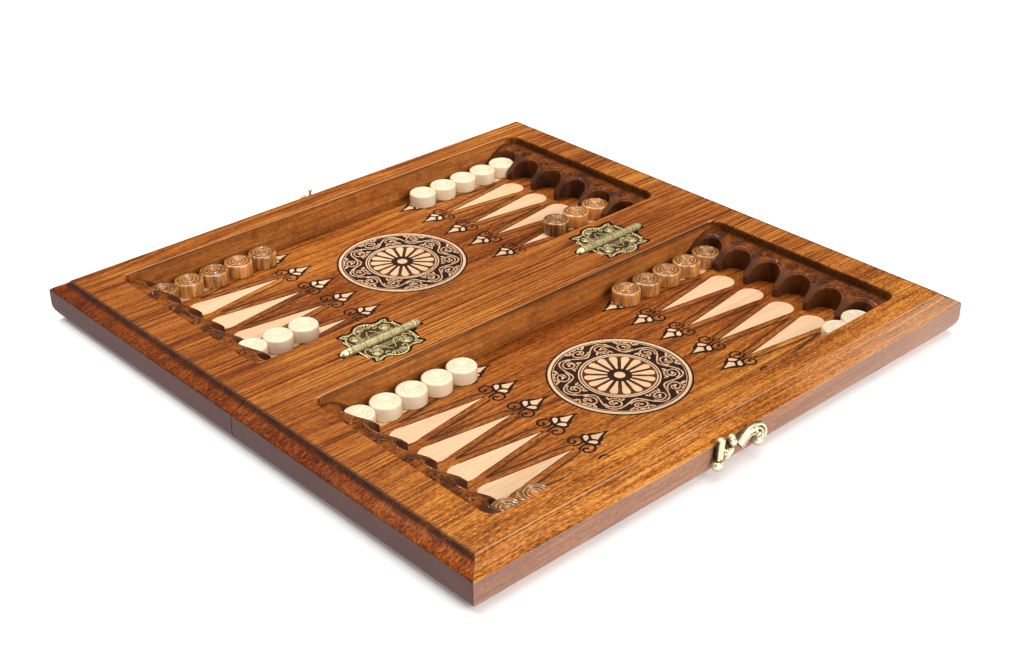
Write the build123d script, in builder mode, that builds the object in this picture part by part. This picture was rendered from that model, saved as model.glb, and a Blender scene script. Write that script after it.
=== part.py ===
from build123d import *
import os
from math import acos, atan2, cos, degrees, radians, sin, sqrt

os.makedirs("parts", exist_ok=True)

# A carved wooden box that opens flat into a backgammon board. X runs along the
# fold line, Y towards the back half, Z up. The origin is on the underside, at
# the middle of the fold line. Lengths are in millimetres.

# The two halves
board_length = 500.0
half_width = 250.0
board_height = 34.0
fold_gap = 1.0
lower_round = 14.0

# Moulding worked into the three outer sides of each half
moulding_width = 12.5
moulding_drop = 8.4
moulding_step = 0.8
moulding_waist_in = 6.2
moulding_waist_drop = 4.9
moulding_hollow = 0.9
moulding_lip = 0.6

# Playing recess; the carving sits a little to the right of the outline
carving_shift = 3.4
recess_rail = 33.0
end_rail = 41.1
recess_depth = 26.0
recess_corner = 11.0
recess_ease = 1.2

# Scalloped ledge at each end of a recess
ledge_drop = 7.0
ledge_flat = 12.5
ledge_nose_drop = 19.7
ledge_swell = 1.7
ledge_glue_gap = 0.1
points_per_end = 6
point_margin = 16.0
pocket_reach = 27.5
pocket_radius = 12.4
nose_swell = 0.2

# Carved floor: one teardrop to a point and a medallion in the middle
carve_depth = 0.5
teardrop_radius = 10.6
teardrop_back_gap = 5.0
teardrop_length = 73.2
teardrop_tip_radius = 0.8
medallion_radius = 54.4
medallion_line = 1.5
vine_ring_outer = 49.4
vine_ring_inner = 31.0
rosette_hub_radius = 4.3
rosette_petals = 16
petal_root = 10.0
petal_end = 26.4
petal_root_half_width = 0.8
petal_end_half_width = 4.1

# Chess field on the underside, eight by eight over both halves
chess_square = 52.0
chess_margin = 0.4
chess_rows = 4
chess_columns = 8
chess_depth = 0.4

# Checkers
checker_diameter = 23.3
checker_height = 11.5
checker_spacing = 23.65
checker_edge = 1.9
checker_edge_bend = 0.6
checker_foot = 1.3
checker_rim = 3.4
checker_groove = 2.2
checker_groove_depth = 0.9
checker_button_drop = 0.3
first_checker_right = 0.7

# Hinges, two in the fold
hinge_half_spacing = 119.0
hinge_shift = 1.0
barrel_radius = 3.6
barrel_length = 58.0
knuckle_count = 5
knuckle_gap = 0.2
closed_gap = 0.3
pin_radius = 1.2
pin_clearance = 0.05
barrel_clearance = 0.35
leaf_half_length = 23.6
leaf_bow = 0.6
leaf_ear_x = 22.0
leaf_ear_y = 22.0
leaf_ear_width = 4.5
leaf_ear_rise = 1.0
leaf_waist_in = 2.6
leaf_waist_drop = 4.4
leaf_reach = 27.0
leaf_fan_half_width = 8.4
leaf_fan_rise = 0.4
leaf_fan_bow = 1.3
leaf_dip = 0.6
leaf_root = 0.8
leaf_thickness = 1.0
leaf_border = 1.3
leaf_border_height = 0.7
bed_depth = 2.0
bed_clearance = 2.2
bed_side_reach = 9.0
collar_radius = 3.9
collar_length = 1.6
neck_radius = 2.7
neck_length = 0.8
finial_radius = 3.4
finial_length = 5.8
finial_belly_length = 2.9
finial_belly_radius = 2.9
finial_tip_radius = 0.6
groove_clearance = 0.3
hinge_screw_x = 14.0
hinge_screw_y = 13.0
hinge_screw_head = 2.6
hinge_screw_head_height = 0.6
hinge_screw_crown = 1.95
hinge_screw_shank = 1.3
hinge_screw_length = 9.0
screw_clearance = 0.1
screw_point = 1.5
hole_spare = 0.5

# Clasp on the front face and its catch on the back face. Heights are measured
# down from the rim, and "out" is the distance out from the wooden face.
clasp_plate_x = -27.0
clasp_plate_half_length = 13.0
catch_plate_x = 3.0
catch_plate_half_length = 9.5
plate_half_height = 4.9
plate_drop = 14.4
plate_thickness = 1.6
plate_finial_radius = 2.0
plate_finial_neck = 2.4
clasp_finial_x = -26.0
clasp_finial_drop = 3.6
catch_finial_drop = 2.6
finial_out = 0.2
arm_x = -41.0
arm_width = 4.6
arm_top_drop = 0.8
arm_foot_drop = 15.5
arm_out = 1.8
arm_thickness = 3.0
arm_ball_radius = 3.8
arm_ball_drop = 21.0
metal_reach = 8.0
bridge_width = 5.5
bridge_height = 4.0
pivot_x = -30.0
pivot_drop = 14.5
pivot_radius = 1.6
pivot_depth = 7.0
pivot_head_radius = 3.0
pivot_head_height = 1.6
pivot_head_slope = 35
hook_out = 2.5
hook_thickness = 3.0
hook_play = 0.25
eye_radius = 4.4
strap_width = 4.2
strap_crown_x = -10.0
strap_crown_drop = 3.2
mouth_x = 9.3
mouth_drop = 12.0
mouth_radius = 2.6
fork_wall = 3.0
fork_leg = 4.0
fork_ball_radius = 2.9
fork_ball_drop = 18.4
stud_drop = 11.0
stud_radius = 2.1
stud_head_radius = 3.1
stud_head_height = 2.0
stud_head_slope = 25
plate_screw_head = 1.6
plate_screw_head_height = 0.5
plate_screw_crown = 1.12
plate_screw_shank = 0.9
plate_screw_length = 8.0
clasp_screw_spot = (-19.0, 15.6)
catch_screw_spots = ((8.6, 14.4), (-3.4, 15.8))

# Places worked out from the sizes above
recess_length = board_length - 2 * end_rail
recess_width = half_width - 2 * recess_rail
point_pitch = (recess_width - 2 * point_margin) / (points_per_end - 1)
nose_radius = point_pitch / 2 - pocket_radius + nose_swell
nose_offset = sqrt((pocket_radius + nose_radius) ** 2 - (point_pitch / 2) ** 2)
neck_reach = pocket_reach + nose_offset * pocket_radius / (pocket_radius + nose_radius)
ledge_reach = pocket_reach + nose_offset + nose_radius
floor_height = board_height - recess_depth
recess_centre = recess_rail + recess_width / 2
axis_height = board_height + closed_gap / 2
bed_floor = board_height - bed_depth
finial_span = barrel_length / 2 + knuckle_gap + collar_length + neck_length + finial_length
groove_radius = collar_radius + groove_clearance
leaf_knuckles = {-1: (0, 2, 4), 1: (1, 3)}
hinge_places = {
    "left": hinge_shift - hinge_half_spacing,
    "right": hinge_shift + hinge_half_spacing,
}
sides = {"front": -1, "back": 1}
ends = {"left": -1, "right": 1}


def save(part, name):
    """Label one finished piece and write its file."""
    part.label = name
    export_step(part, f"parts/{name}.step")


def point_y(side, number):
    """Y of a point; number 1 is the one furthest back on its half."""
    middle = (points_per_end + 1) / 2
    return side * recess_centre + (middle - number) * point_pitch


def from_wall(end, reach):
    """X of a place at this distance from the end wall of the recesses."""
    return carving_shift + end * (recess_length / 2 - reach)


def face_plane(side, out=0.0):
    """Upright plane on a long outer face, with local Y up from the rim."""
    place = side * (half_width + out)
    return Plane(origin=(0, place, board_height), x_dir=(1, 0, 0), z_dir=(0, -1, 0))


def hinge_plane(hinge_x, side, height):
    """Level plane at a hinge whose local Y points away from the fold line."""
    return Plane(origin=(hinge_x, 0, height), x_dir=(side, 0, 0), z_dir=(0, 0, 1))


def moulding_section(plane):
    """Wood taken off an outer top edge: a small step, a hollow and a rounded lip."""
    top = Vector(moulding_width, -moulding_step)
    waist = Vector(moulding_waist_in, -moulding_waist_drop)
    foot = Vector(0, -moulding_drop)
    hollow = (top + waist) / 2 + Vector(moulding_hollow, 0).rotate(Axis.Z, moulding_tilt(waist, top) - 90)
    lip = (waist + foot) / 2 + Vector(moulding_lip, 0).rotate(Axis.Z, moulding_tilt(foot, waist) + 90)
    with BuildSketch(plane) as section:
        with BuildLine():
            Line((moulding_width, 0), top)
            ThreePointArc(top, hollow, waist)
            ThreePointArc(waist, lip, foot)
            Polyline(foot, (-1, -moulding_drop), (-1, 1), (moulding_width, 1), (moulding_width, 0))
        make_face()
    return section.sketch


def moulding_tilt(low, high):
    """Slope in degrees of the straight line between two places on the moulding."""
    return degrees(atan2(high.Y - low.Y, high.X - low.X))


def leaf_outline():
    """Hinge leaf: bowed ends, a pointed ear at each corner and a fan between."""
    waist = (leaf_ear_x - leaf_waist_in, leaf_ear_y - leaf_waist_drop)
    bow = (leaf_half_length - leaf_bow, leaf_ear_y / 2)
    ear_back = (leaf_ear_x - leaf_ear_width, leaf_ear_y + leaf_ear_rise)
    fan_start = (leaf_fan_half_width, leaf_ear_y + leaf_fan_rise)
    dip = ((ear_back[0] + fan_start[0]) / 2, leaf_ear_y - leaf_dip)
    fan_side = (leaf_fan_half_width * sin(radians(38)), leaf_reach - leaf_fan_bow)
    with BuildSketch() as outline:
        with BuildLine():
            Line((0, leaf_root), (leaf_half_length, leaf_root))
            Line((leaf_half_length, leaf_root), (leaf_half_length, leaf_ear_y / 4))
            ThreePointArc((leaf_half_length, leaf_ear_y / 4), bow, waist)
            Line(waist, (leaf_ear_x, leaf_ear_y))
            Line((leaf_ear_x, leaf_ear_y), ear_back)
            ThreePointArc(ear_back, dip, fan_start)
            ThreePointArc(fan_start, fan_side, (0, leaf_reach))
            mirror(about=Plane.YZ)
        make_face()
    return outline.sketch


def teardrop(plane):
    """A carved teardrop along local X, with its round end about the plane's origin."""
    lean = acos((teardrop_radius - teardrop_tip_radius) / teardrop_length)
    shoulder = (teardrop_radius * cos(lean), teardrop_radius * sin(lean))
    tip = (teardrop_length + teardrop_tip_radius * cos(lean), teardrop_tip_radius * sin(lean))
    with BuildSketch(plane) as outline:
        with BuildLine():
            ThreePointArc(shoulder, (-teardrop_radius, 0), (shoulder[0], -shoulder[1]))
            Line((shoulder[0], -shoulder[1]), (tip[0], -tip[1]))
            ThreePointArc((tip[0], -tip[1]), (teardrop_length + teardrop_tip_radius, 0), tip)
            Line(tip, shoulder)
        make_face()
    return outline.sketch


def carved_floor(side):
    """Everything cut into the floor of a recess: the teardrops and the medallion."""
    petal = [
        (petal_root, -petal_root_half_width),
        (petal_end, -petal_end_half_width),
        (petal_end, petal_end_half_width),
        (petal_root, petal_root_half_width),
    ]
    with BuildSketch(Plane.XY.offset(floor_height - carve_depth)) as carving:
        for end in ends.values():
            base_x = from_wall(end, pocket_reach + teardrop_back_gap + teardrop_radius)
            for number in range(1, points_per_end + 1):
                place = Plane(origin=(base_x, point_y(side, number), 0), x_dir=(-end, 0, 0), z_dir=(0, 0, 1))
                add(teardrop(place))
        with Locations((carving_shift, side * recess_centre)):
            Circle(medallion_radius)
            Circle(medallion_radius - medallion_line, mode=Mode.SUBTRACT)
            Circle(vine_ring_outer)
            Circle(vine_ring_inner, mode=Mode.SUBTRACT)
            Circle(rosette_hub_radius)
            with PolarLocations(0, rosette_petals):
                with BuildLine():
                    Polyline(*petal, close=True)
                make_face()
    return carving.sketch


def chess_field(side):
    """The light squares of this half's four rows, cut a little into the underside."""
    cut = chess_square - 2 * chess_margin
    with BuildSketch() as squares:
        for row in range(chess_rows):
            for column in range(chess_columns):
                light = (row + column + (side > 0)) % 2 == 0
                if light:
                    x = (column + 0.5 - chess_columns / 2) * chess_square
                    y = side * (fold_gap / 2 + (row + 0.5) * chess_square)
                    with Locations((x, y)):
                        Rectangle(cut, cut)
    return squares.sketch


def make_board(side):
    """One half: a thick board with its moulding, recess, carving and beds for the metalwork."""
    width = half_width - fold_gap / 2
    outer_y = side * half_width
    with BuildPart() as board:
        with BuildSketch():
            with Locations((0, side * (half_width + fold_gap / 2) / 2)):
                Rectangle(board_length, width)
        extrude(amount=board_height)
        underside = board.edges().group_by(Axis.Z)[0]
        fillet([edge for edge in underside if abs(edge.center().Y) > fold_gap], lower_round)

        with BuildLine() as outline:
            left, right = -board_length / 2, board_length / 2
            Polyline(
                (left, 0, board_height),
                (left, outer_y, board_height),
                (right, outer_y, board_height),
                (right, 0, board_height),
            )
        start = Plane(origin=(left, 0, board_height), x_dir=(1, 0, 0), z_dir=(0, -1, 0))
        sweep(moulding_section(start), outline.line, transition=Transition.RIGHT, mode=Mode.SUBTRACT)

        with BuildSketch(Plane.XY.offset(floor_height)):
            with Locations((carving_shift, side * recess_centre)):
                RectangleRounded(recess_length, recess_width, recess_corner)
        extrude(amount=recess_depth, mode=Mode.SUBTRACT)
        inside_x = recess_length / 2 + abs(carving_shift) + 1
        inner_edges = [
            edge
            for edge in board.edges().group_by(Axis.Z)[-1]
            if abs(edge.center().X) < inside_x
            and recess_rail - 1 < abs(edge.center().Y) < recess_rail + recess_width + 1
        ]
        fillet(inner_edges, recess_ease)
        extrude(carved_floor(side), amount=carve_depth, mode=Mode.SUBTRACT)
        extrude(chess_field(side), amount=chess_depth, mode=Mode.SUBTRACT)

        for hinge_x in hinge_places.values():
            with Locations((hinge_x, 0, axis_height)):
                Cylinder(groove_radius, 2 * (finial_span + groove_clearance), rotation=(0, 90, 0), mode=Mode.SUBTRACT)
            with BuildSketch(hinge_plane(hinge_x, side, bed_floor)):
                add(bed_outline())
            extrude(amount=bed_depth, mode=Mode.SUBTRACT)
            with Locations(*hinge_screw_spots(hinge_x, side, bed_floor - hinge_screw_length)):
                Cylinder(
                    hinge_screw_shank + screw_clearance,
                    hinge_screw_length,
                    align=(Align.CENTER, Align.CENTER, Align.MIN),
                    mode=Mode.SUBTRACT,
                )
        for spot, radius, depth in face_holes(side):
            with BuildSketch(face_plane(side)):
                with Locations(spot):
                    Circle(radius + screw_clearance)
            extrude(amount=side * depth, mode=Mode.SUBTRACT)
    return board.part


def bed_outline():
    """Bed cut round a leaf, running out to a point at each finial."""
    with BuildSketch() as bed:
        add(leaf_outline())
        offset(amount=bed_clearance)
        with BuildLine():
            span = finial_span + groove_clearance
            Polyline((-span, 0), (-leaf_half_length, bed_side_reach), (leaf_half_length, bed_side_reach), (span, 0))
            Line((span, 0), (-span, 0))
        make_face()
    return bed.sketch


def hinge_screw_spots(hinge_x, side, height):
    """Where the two screws of one leaf stand."""
    return [(hinge_x + sign * hinge_screw_x, side * hinge_screw_y, height) for sign in (-1, 1)]


def face_holes(side):
    """Holes in a long outer face: place on the face, radius of what goes in and depth."""
    if side < 0:
        holes = [((pivot_x, -pivot_drop), pivot_radius, pivot_depth)]
    else:
        holes = []
    for x, drop in plate_screws[side]:
        holes.append(((x, -drop), plate_screw_shank, plate_screw_length))
    return holes


def comb_outline(side, end):
    """Plan of a ledge: a strip with a pocket for each point and a round nose between."""
    with BuildSketch() as comb:
        with Locations((from_wall(end, neck_reach / 2), side * recess_centre)):
            Rectangle(neck_reach, recess_width)
        for number in range(1, points_per_end + 1):
            with Locations((from_wall(end, pocket_reach), point_y(side, number))):
                Circle(pocket_radius, mode=Mode.SUBTRACT)
        for number in range(points_per_end + 1):
            with Locations((from_wall(end, pocket_reach + nose_offset), point_y(side, number + 0.5))):
                Circle(nose_radius)
    return comb.sketch


def make_ledge(side, end):
    """Comb at one end of a recess, which falls towards its noses."""
    wall_x = from_wall(end, 0)
    top = board_height - ledge_drop
    nose_top = board_height - ledge_nose_drop
    swell_x = (ledge_flat + ledge_reach) / 2
    swell_z = (top + nose_top) / 2 + ledge_swell
    ends = Plane(origin=(wall_x, side * recess_centre, 0), x_dir=(-end, 0, 0), z_dir=(0, end, 0))
    with BuildPart() as ledge:
        with BuildSketch(ends):
            with BuildLine():
                Polyline((0, floor_height), (0, top), (ledge_flat, top))
                ThreePointArc((ledge_flat, top), (swell_x, swell_z), (ledge_reach, nose_top))
                Polyline((ledge_reach, nose_top), (ledge_reach, floor_height), (0, floor_height))
            make_face()
        extrude(amount=recess_width / 2, both=True)
        with BuildSketch(Plane.XY.offset(floor_height)):
            with Locations((carving_shift, side * recess_centre)):
                RectangleRounded(
                    recess_length - 2 * ledge_glue_gap,
                    recess_width - 2 * ledge_glue_gap,
                    recess_corner - ledge_glue_gap,
                )
        extrude(amount=recess_depth, mode=Mode.INTERSECT)
        with BuildSketch(Plane.XY.offset(floor_height)):
            add(comb_outline(side, end))
        extrude(amount=recess_depth, mode=Mode.INTERSECT)
    return ledge.part


def make_leaf(hinge_x, side):
    """Hinge leaf with a raised border, rolled into its own knuckles."""
    length = (barrel_length - (knuckle_count - 1) * knuckle_gap) / knuckle_count
    pitch = length + knuckle_gap
    middle = (knuckle_count - 1) / 2
    with BuildPart() as leaf:
        with BuildSketch(hinge_plane(hinge_x, side, bed_floor)):
            add(leaf_outline())
        extrude(amount=leaf_thickness)
        with BuildSketch(hinge_plane(hinge_x, side, bed_floor + leaf_thickness)):
            add(leaf_outline())
            offset(leaf_outline(), amount=-leaf_border, mode=Mode.SUBTRACT)
        extrude(amount=leaf_border_height)
        for index in range(knuckle_count):
            with Locations((hinge_x + (index - middle) * pitch, 0, axis_height)):
                if index in leaf_knuckles[side]:
                    Cylinder(barrel_radius, length, rotation=(0, 90, 0))
                else:
                    room = length + 2 * knuckle_gap
                    Cylinder(barrel_radius + barrel_clearance, room, rotation=(0, 90, 0), mode=Mode.SUBTRACT)
        with Locations((hinge_x, 0, axis_height)):
            Cylinder(pin_radius + pin_clearance, barrel_length, rotation=(0, 90, 0), mode=Mode.SUBTRACT)
        with Locations(*hinge_screw_spots(hinge_x, side, bed_floor)):
            Cylinder(
                hinge_screw_shank + screw_clearance,
                leaf_thickness,
                align=(Align.CENTER, Align.CENTER, Align.MIN),
                mode=Mode.SUBTRACT,
            )
    return leaf.part


def make_pin(hinge_x):
    """Pin through the knuckles, with a collar and a pointed finial at each end."""
    start = barrel_length / 2 + knuckle_gap
    neck = start + collar_length
    cone = neck + neck_length
    axis_plane = Plane(origin=(hinge_x, 0, axis_height), x_dir=(1, 0, 0), z_dir=(0, -1, 0))
    with BuildPart() as pin:
        with BuildSketch(axis_plane):
            with BuildLine():
                Polyline(
                    (0, 0),
                    (0, pin_radius),
                    (start, pin_radius),
                    (start, collar_radius),
                    (neck, collar_radius),
                    (neck, neck_radius),
                    (cone, neck_radius),
                    (cone, finial_radius),
                    (cone + finial_belly_length, finial_belly_radius),
                    (cone + finial_length, finial_tip_radius),
                    (cone + finial_length, 0),
                    (0, 0),
                )
            make_face()
        revolve(axis=Axis((hinge_x, 0, axis_height), (1, 0, 0)))
        mirror(about=Plane(origin=(hinge_x, 0, 0), z_dir=(1, 0, 0)))
    return pin.part


def make_hinge_screws(side):
    """The four wood screws of one half's leaves."""
    shoulder = bed_floor + leaf_thickness
    with BuildPart() as screws:
        for hinge_x in hinge_places.values():
            for x, y, height in hinge_screw_spots(hinge_x, side, shoulder):
                with BuildSketch(Plane(origin=(x, y, height), x_dir=(1, 0, 0), z_dir=(0, -1, 0))):
                    with BuildLine():
                        Polyline(
                            (0, hole_spare - hinge_screw_length),
                            (hinge_screw_shank, hole_spare + screw_point - hinge_screw_length),
                            (hinge_screw_shank, 0),
                            (hinge_screw_head, 0),
                            (hinge_screw_crown, hinge_screw_head_height),
                            (0, hinge_screw_head_height),
                            (0, hole_spare - hinge_screw_length),
                        )
                    make_face()
                revolve(axis=Axis((x, y, 0), (0, 0, 1)))
    return screws.part


def make_plate_screws(side):
    """Small screws that hold the clasp or catch plate."""
    with BuildPart() as screws:
        for x, drop in plate_screws[side]:
            height = board_height - drop
            seat = side * (half_width + plate_thickness)
            with BuildSketch(Plane(origin=(x, seat, height), x_dir=(1, 0, 0), z_dir=(0, 0, 1))):
                with BuildLine():
                    Polyline(
                        (0, side * (hole_spare - plate_screw_length)),
                        (plate_screw_shank, side * (hole_spare + screw_point - plate_screw_length)),
                        (plate_screw_shank, 0),
                        (plate_screw_head, 0),
                        (plate_screw_crown, side * plate_screw_head_height),
                        (0, side * plate_screw_head_height),
                        (0, side * (hole_spare - plate_screw_length)),
                    )
                make_face()
            revolve(axis=Axis((x, 0, height), (0, 1, 0)))
    return screws.part


def plate_with_finial(side, plate_x, half_length, finial_x, finial_drop):
    """Oval plate on a long outer face, with a small ball finial above it."""
    with BuildPart() as plate:
        with BuildSketch(face_plane(side)):
            with Locations((plate_x, -plate_drop)):
                Ellipse(half_length, plate_half_height)
            with Locations((finial_x, -(finial_drop + plate_drop) / 2)):
                Rectangle(plate_finial_neck, plate_drop - finial_drop)
        extrude(amount=-side * plate_thickness)
        with Locations((finial_x, side * (half_width + finial_out), board_height - finial_drop)):
            Sphere(plate_finial_radius)
        for x, drop in plate_screws[side]:
            with BuildSketch(face_plane(side)):
                with Locations((x, -drop)):
                    Circle(plate_screw_shank + screw_clearance)
            extrude(amount=-side * plate_thickness, mode=Mode.SUBTRACT)
    return plate.part


def make_clasp_plate():
    """Front plate: it carries the pivot, and a fixed arm that ends in a ball."""
    arm_length = arm_foot_drop - arm_top_drop
    with BuildPart() as plate:
        add(plate_with_finial(-1, clasp_plate_x, clasp_plate_half_length, clasp_finial_x, clasp_finial_drop))
        with BuildSketch(face_plane(-1, arm_out)):
            with Locations((arm_x, -(arm_top_drop + arm_foot_drop) / 2)):
                SlotOverall(arm_length + arm_width, arm_width, rotation=90)
        extrude(amount=arm_thickness)
        with BuildSketch(face_plane(-1)):
            with Locations((arm_x + bridge_width / 2, -plate_drop)):
                Rectangle(bridge_width, bridge_height)
        extrude(amount=arm_out + arm_thickness / 2)
        with Locations((arm_x, -(half_width + metal_reach - arm_ball_radius), board_height - arm_ball_drop)):
            Sphere(arm_ball_radius)
        with BuildSketch(face_plane(-1)):
            with Locations((pivot_x, -pivot_drop)):
                Circle(pivot_radius + screw_clearance)
        extrude(amount=plate_thickness, mode=Mode.SUBTRACT)
    return plate.part


def make_pivot():
    """Rivet through the hook's eye into the board, with a domed head."""
    with BuildPart() as pivot:
        with BuildSketch(face_plane(-1, hole_spare - pivot_depth)):
            with Locations((pivot_x, -pivot_drop)):
                Circle(pivot_radius)
        head_out = hook_out + hook_thickness + hook_play
        extrude(amount=pivot_depth - hole_spare + head_out)
        with BuildSketch(face_plane(-1, head_out)):
            with Locations((pivot_x, -pivot_drop)):
                Circle(pivot_head_radius)
        extrude(amount=pivot_head_height, taper=pivot_head_slope)
    return pivot.part


def make_hook():
    """Swinging hook: an eye, an arched strap and a fork that drops over the stud."""
    eye = (pivot_x, -pivot_drop)
    mouth = (mouth_x, -mouth_drop)
    with BuildPart() as hook:
        with BuildSketch(face_plane(-1, hook_out)):
            with Locations(eye):
                Circle(eye_radius)
            with BuildLine() as strap:
                fork_top = (mouth_x, -mouth_drop + mouth_radius + fork_wall / 2)
                ThreePointArc(eye, (strap_crown_x, -strap_crown_drop), fork_top)
            trace(strap.line, strap_width)
            with Locations(mouth):
                Circle(mouth_radius + fork_wall)
            with Locations((mouth_x, -mouth_drop - fork_leg / 2)):
                Rectangle(2 * (mouth_radius + fork_wall), fork_leg)
            with Locations(mouth):
                Circle(mouth_radius, mode=Mode.SUBTRACT)
            with Locations((mouth_x, -mouth_drop - fork_leg)):
                Rectangle(2 * mouth_radius, 2 * fork_leg, mode=Mode.SUBTRACT)
            with Locations(eye):
                Circle(pivot_radius + pin_clearance, mode=Mode.SUBTRACT)
        extrude(amount=hook_thickness)
        ball_x = mouth_x - mouth_radius - fork_ball_radius
        with Locations((ball_x, -(half_width + hook_out + hook_thickness / 2), board_height - fork_ball_drop)):
            Sphere(fork_ball_radius)
    return hook.part


def make_catch_plate():
    """Back plate, with the headed stud that the hook drops over."""
    with BuildPart() as plate:
        add(plate_with_finial(1, catch_plate_x, catch_plate_half_length, catch_plate_x, catch_finial_drop))
        with BuildSketch(face_plane(1)):
            with Locations((0, -stud_drop)):
                Circle(stud_radius)
        extrude(amount=-metal_reach + stud_head_height)
        with BuildSketch(face_plane(1, metal_reach - stud_head_height)):
            with Locations((0, -stud_drop)):
                Circle(stud_head_radius)
        extrude(amount=-stud_head_height, taper=stud_head_slope)
    return plate.part


def make_checker(x, y):
    """Turned checker: rounded top edge, small foot and a groove round a flat button."""
    radius = checker_diameter / 2
    rim = radius - checker_rim
    button = rim - checker_groove
    low = checker_height - checker_groove_depth
    button_top = checker_height - checker_button_drop
    bend = checker_edge * (1 - checker_edge_bend)
    with BuildPart() as checker:
        with BuildSketch(Plane(origin=(x, y, floor_height), x_dir=(1, 0, 0), z_dir=(0, -1, 0))):
            with BuildLine():
                Polyline(
                    (0, 0),
                    (radius - checker_foot, 0),
                    (radius, checker_foot),
                    (radius, checker_height - checker_edge),
                )
                Polyline(
                    (radius, checker_height - checker_edge),
                    (radius - bend, checker_height - bend),
                    (radius - checker_edge, checker_height),
                    (rim, checker_height),
                    ((rim + button) / 2, low),
                    (button, button_top),
                    (0, button_top),
                    (0, 0),
                )
            make_face()
        revolve(axis=Axis((x, y, 0), (0, 0, 1)))
    return checker.part


plate_screws = {-1: (clasp_screw_spot,), 1: catch_screw_spots}

for half, side in sides.items():
    save(make_board(side), f"{half}_board")
    for end_name, end in ends.items():
        save(make_ledge(side, end), f"{half}_ledge_{end_name}")
    for hinge_name, hinge_x in hinge_places.items():
        save(make_leaf(hinge_x, side), f"hinge_{hinge_name}_{half}_leaf")
    save(make_hinge_screws(side), f"{half}_hinge_screws")

for hinge_name, hinge_x in hinge_places.items():
    save(make_pin(hinge_x), f"hinge_{hinge_name}_pin")

save(make_clasp_plate(), "clasp_plate")
save(make_plate_screws(-1), "clasp_screw")
save(make_pivot(), "clasp_pivot")
save(make_hook(), "clasp_hook")
save(make_catch_plate(), "catch_plate")
save(make_plate_screws(1), "catch_screws")

# Opening layout: a word for each point of a ledge, from the back, with a letter
# for each checker, d for dark and l for light; a dot is an empty point
opening = {
    ("back", "left"): "ddddd . . . lll .",
    ("back", "right"): "lllll . . . ddd .",
    ("front", "left"): "lllll . . . . dd",
    ("front", "right"): "ddddd . . . . ll",
}
colours = {"d": "dark", "l": "light"}
placed = {"dark": 0, "light": 0}
for (half, end_name), row in opening.items():
    side, end = sides[half], ends[end_name]
    first = from_wall(end, pocket_reach + (first_checker_right if end > 0 else 0))
    for number, word in enumerate(row.split(), start=1):
        for place, letter in enumerate(word.strip(".")):
            colour = colours[letter]
            placed[colour] += 1
            checker = make_checker(first - end * place * checker_spacing, point_y(side, number))
            save(checker, f"checker_{colour}_{placed[colour]:02d}")
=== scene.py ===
import math
import random

import bmesh
import bpy
from mathutils import Matrix, Vector


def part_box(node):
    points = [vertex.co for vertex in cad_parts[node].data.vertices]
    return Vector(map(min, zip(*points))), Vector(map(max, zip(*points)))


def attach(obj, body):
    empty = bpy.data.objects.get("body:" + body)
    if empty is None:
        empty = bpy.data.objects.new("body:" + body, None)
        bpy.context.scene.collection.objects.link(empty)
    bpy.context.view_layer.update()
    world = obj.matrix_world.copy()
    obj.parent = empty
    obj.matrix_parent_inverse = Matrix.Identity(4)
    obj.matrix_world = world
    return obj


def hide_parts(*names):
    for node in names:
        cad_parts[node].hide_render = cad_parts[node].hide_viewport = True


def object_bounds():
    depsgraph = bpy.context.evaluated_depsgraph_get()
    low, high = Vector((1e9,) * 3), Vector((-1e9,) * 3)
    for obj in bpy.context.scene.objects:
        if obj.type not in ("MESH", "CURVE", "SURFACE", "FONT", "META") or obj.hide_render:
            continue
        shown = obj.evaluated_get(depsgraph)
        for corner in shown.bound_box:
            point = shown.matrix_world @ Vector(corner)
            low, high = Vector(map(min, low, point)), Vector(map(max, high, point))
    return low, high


bl_info = {
    "name": "Chess and backgammon board",
    "version": (1, 0, 0),
    "blender": (4, 5, 0),
    "location": "View3D > Sidebar > Game board",
    "description": "Dresses the folding game board in carved wood, turned checkers and antique brass",
    "category": "Object",
}

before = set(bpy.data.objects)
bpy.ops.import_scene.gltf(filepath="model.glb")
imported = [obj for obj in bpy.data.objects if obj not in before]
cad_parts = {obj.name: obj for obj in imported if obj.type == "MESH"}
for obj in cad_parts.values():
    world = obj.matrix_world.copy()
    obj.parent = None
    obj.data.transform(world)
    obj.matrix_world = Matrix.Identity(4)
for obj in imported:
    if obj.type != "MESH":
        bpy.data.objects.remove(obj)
packed_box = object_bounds()

# X runs along the fold, Y to the back and Z up. Boxes, constants times MM and piece sizes are in
# metres; the outlines, sections and masks that are drawn below are in millimetres.
MM = 0.001
SIDES = {"back": 1, "front": -1}
ENDS = {"left": -1, "right": 1}
BOARD_BOX = {"back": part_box("back_board"), "front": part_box("front_board")}
LEDGE_BOX = {
    (half, end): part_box(f"{half}_ledge_{end}") for half in ("back", "front") for end in ("left", "right")
}
BACK_BOARD = BOARD_BOX["back"]
LEFT_LEDGE = LEDGE_BOX["back", "left"]
RIGHT_LEDGE = LEDGE_BOX["back", "right"]
RIM_HEIGHT = BACK_BOARD[1].z
FLOOR_HEIGHT = LEFT_LEDGE[0].z
HALF_LENGTH = BACK_BOARD[1].x
HALF_WIDTH = BACK_BOARD[1].y
FRONT_FACE = BOARD_BOX["front"][0].y
CARVING_X = (LEFT_LEDGE[0].x + RIGHT_LEDGE[1].x) / 2
RECESS_Y = (LEFT_LEDGE[0].y + LEFT_LEDGE[1].y) / 2
RECESS_HALF_LENGTH = (RIGHT_LEDGE[1].x - LEFT_LEDGE[0].x) / 2
RECESS_HALF_WIDTH = (LEFT_LEDGE[1].y - LEFT_LEDGE[0].y) / 2
POINT_PITCH = 30.4 * MM
POINTS = range(1, 7)
CHESS_HALF = 208.0 * MM
CHESS_DEPTH = 0.4 * MM
PLATE_TOP = RIM_HEIGHT - 1.0 * MM
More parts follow.
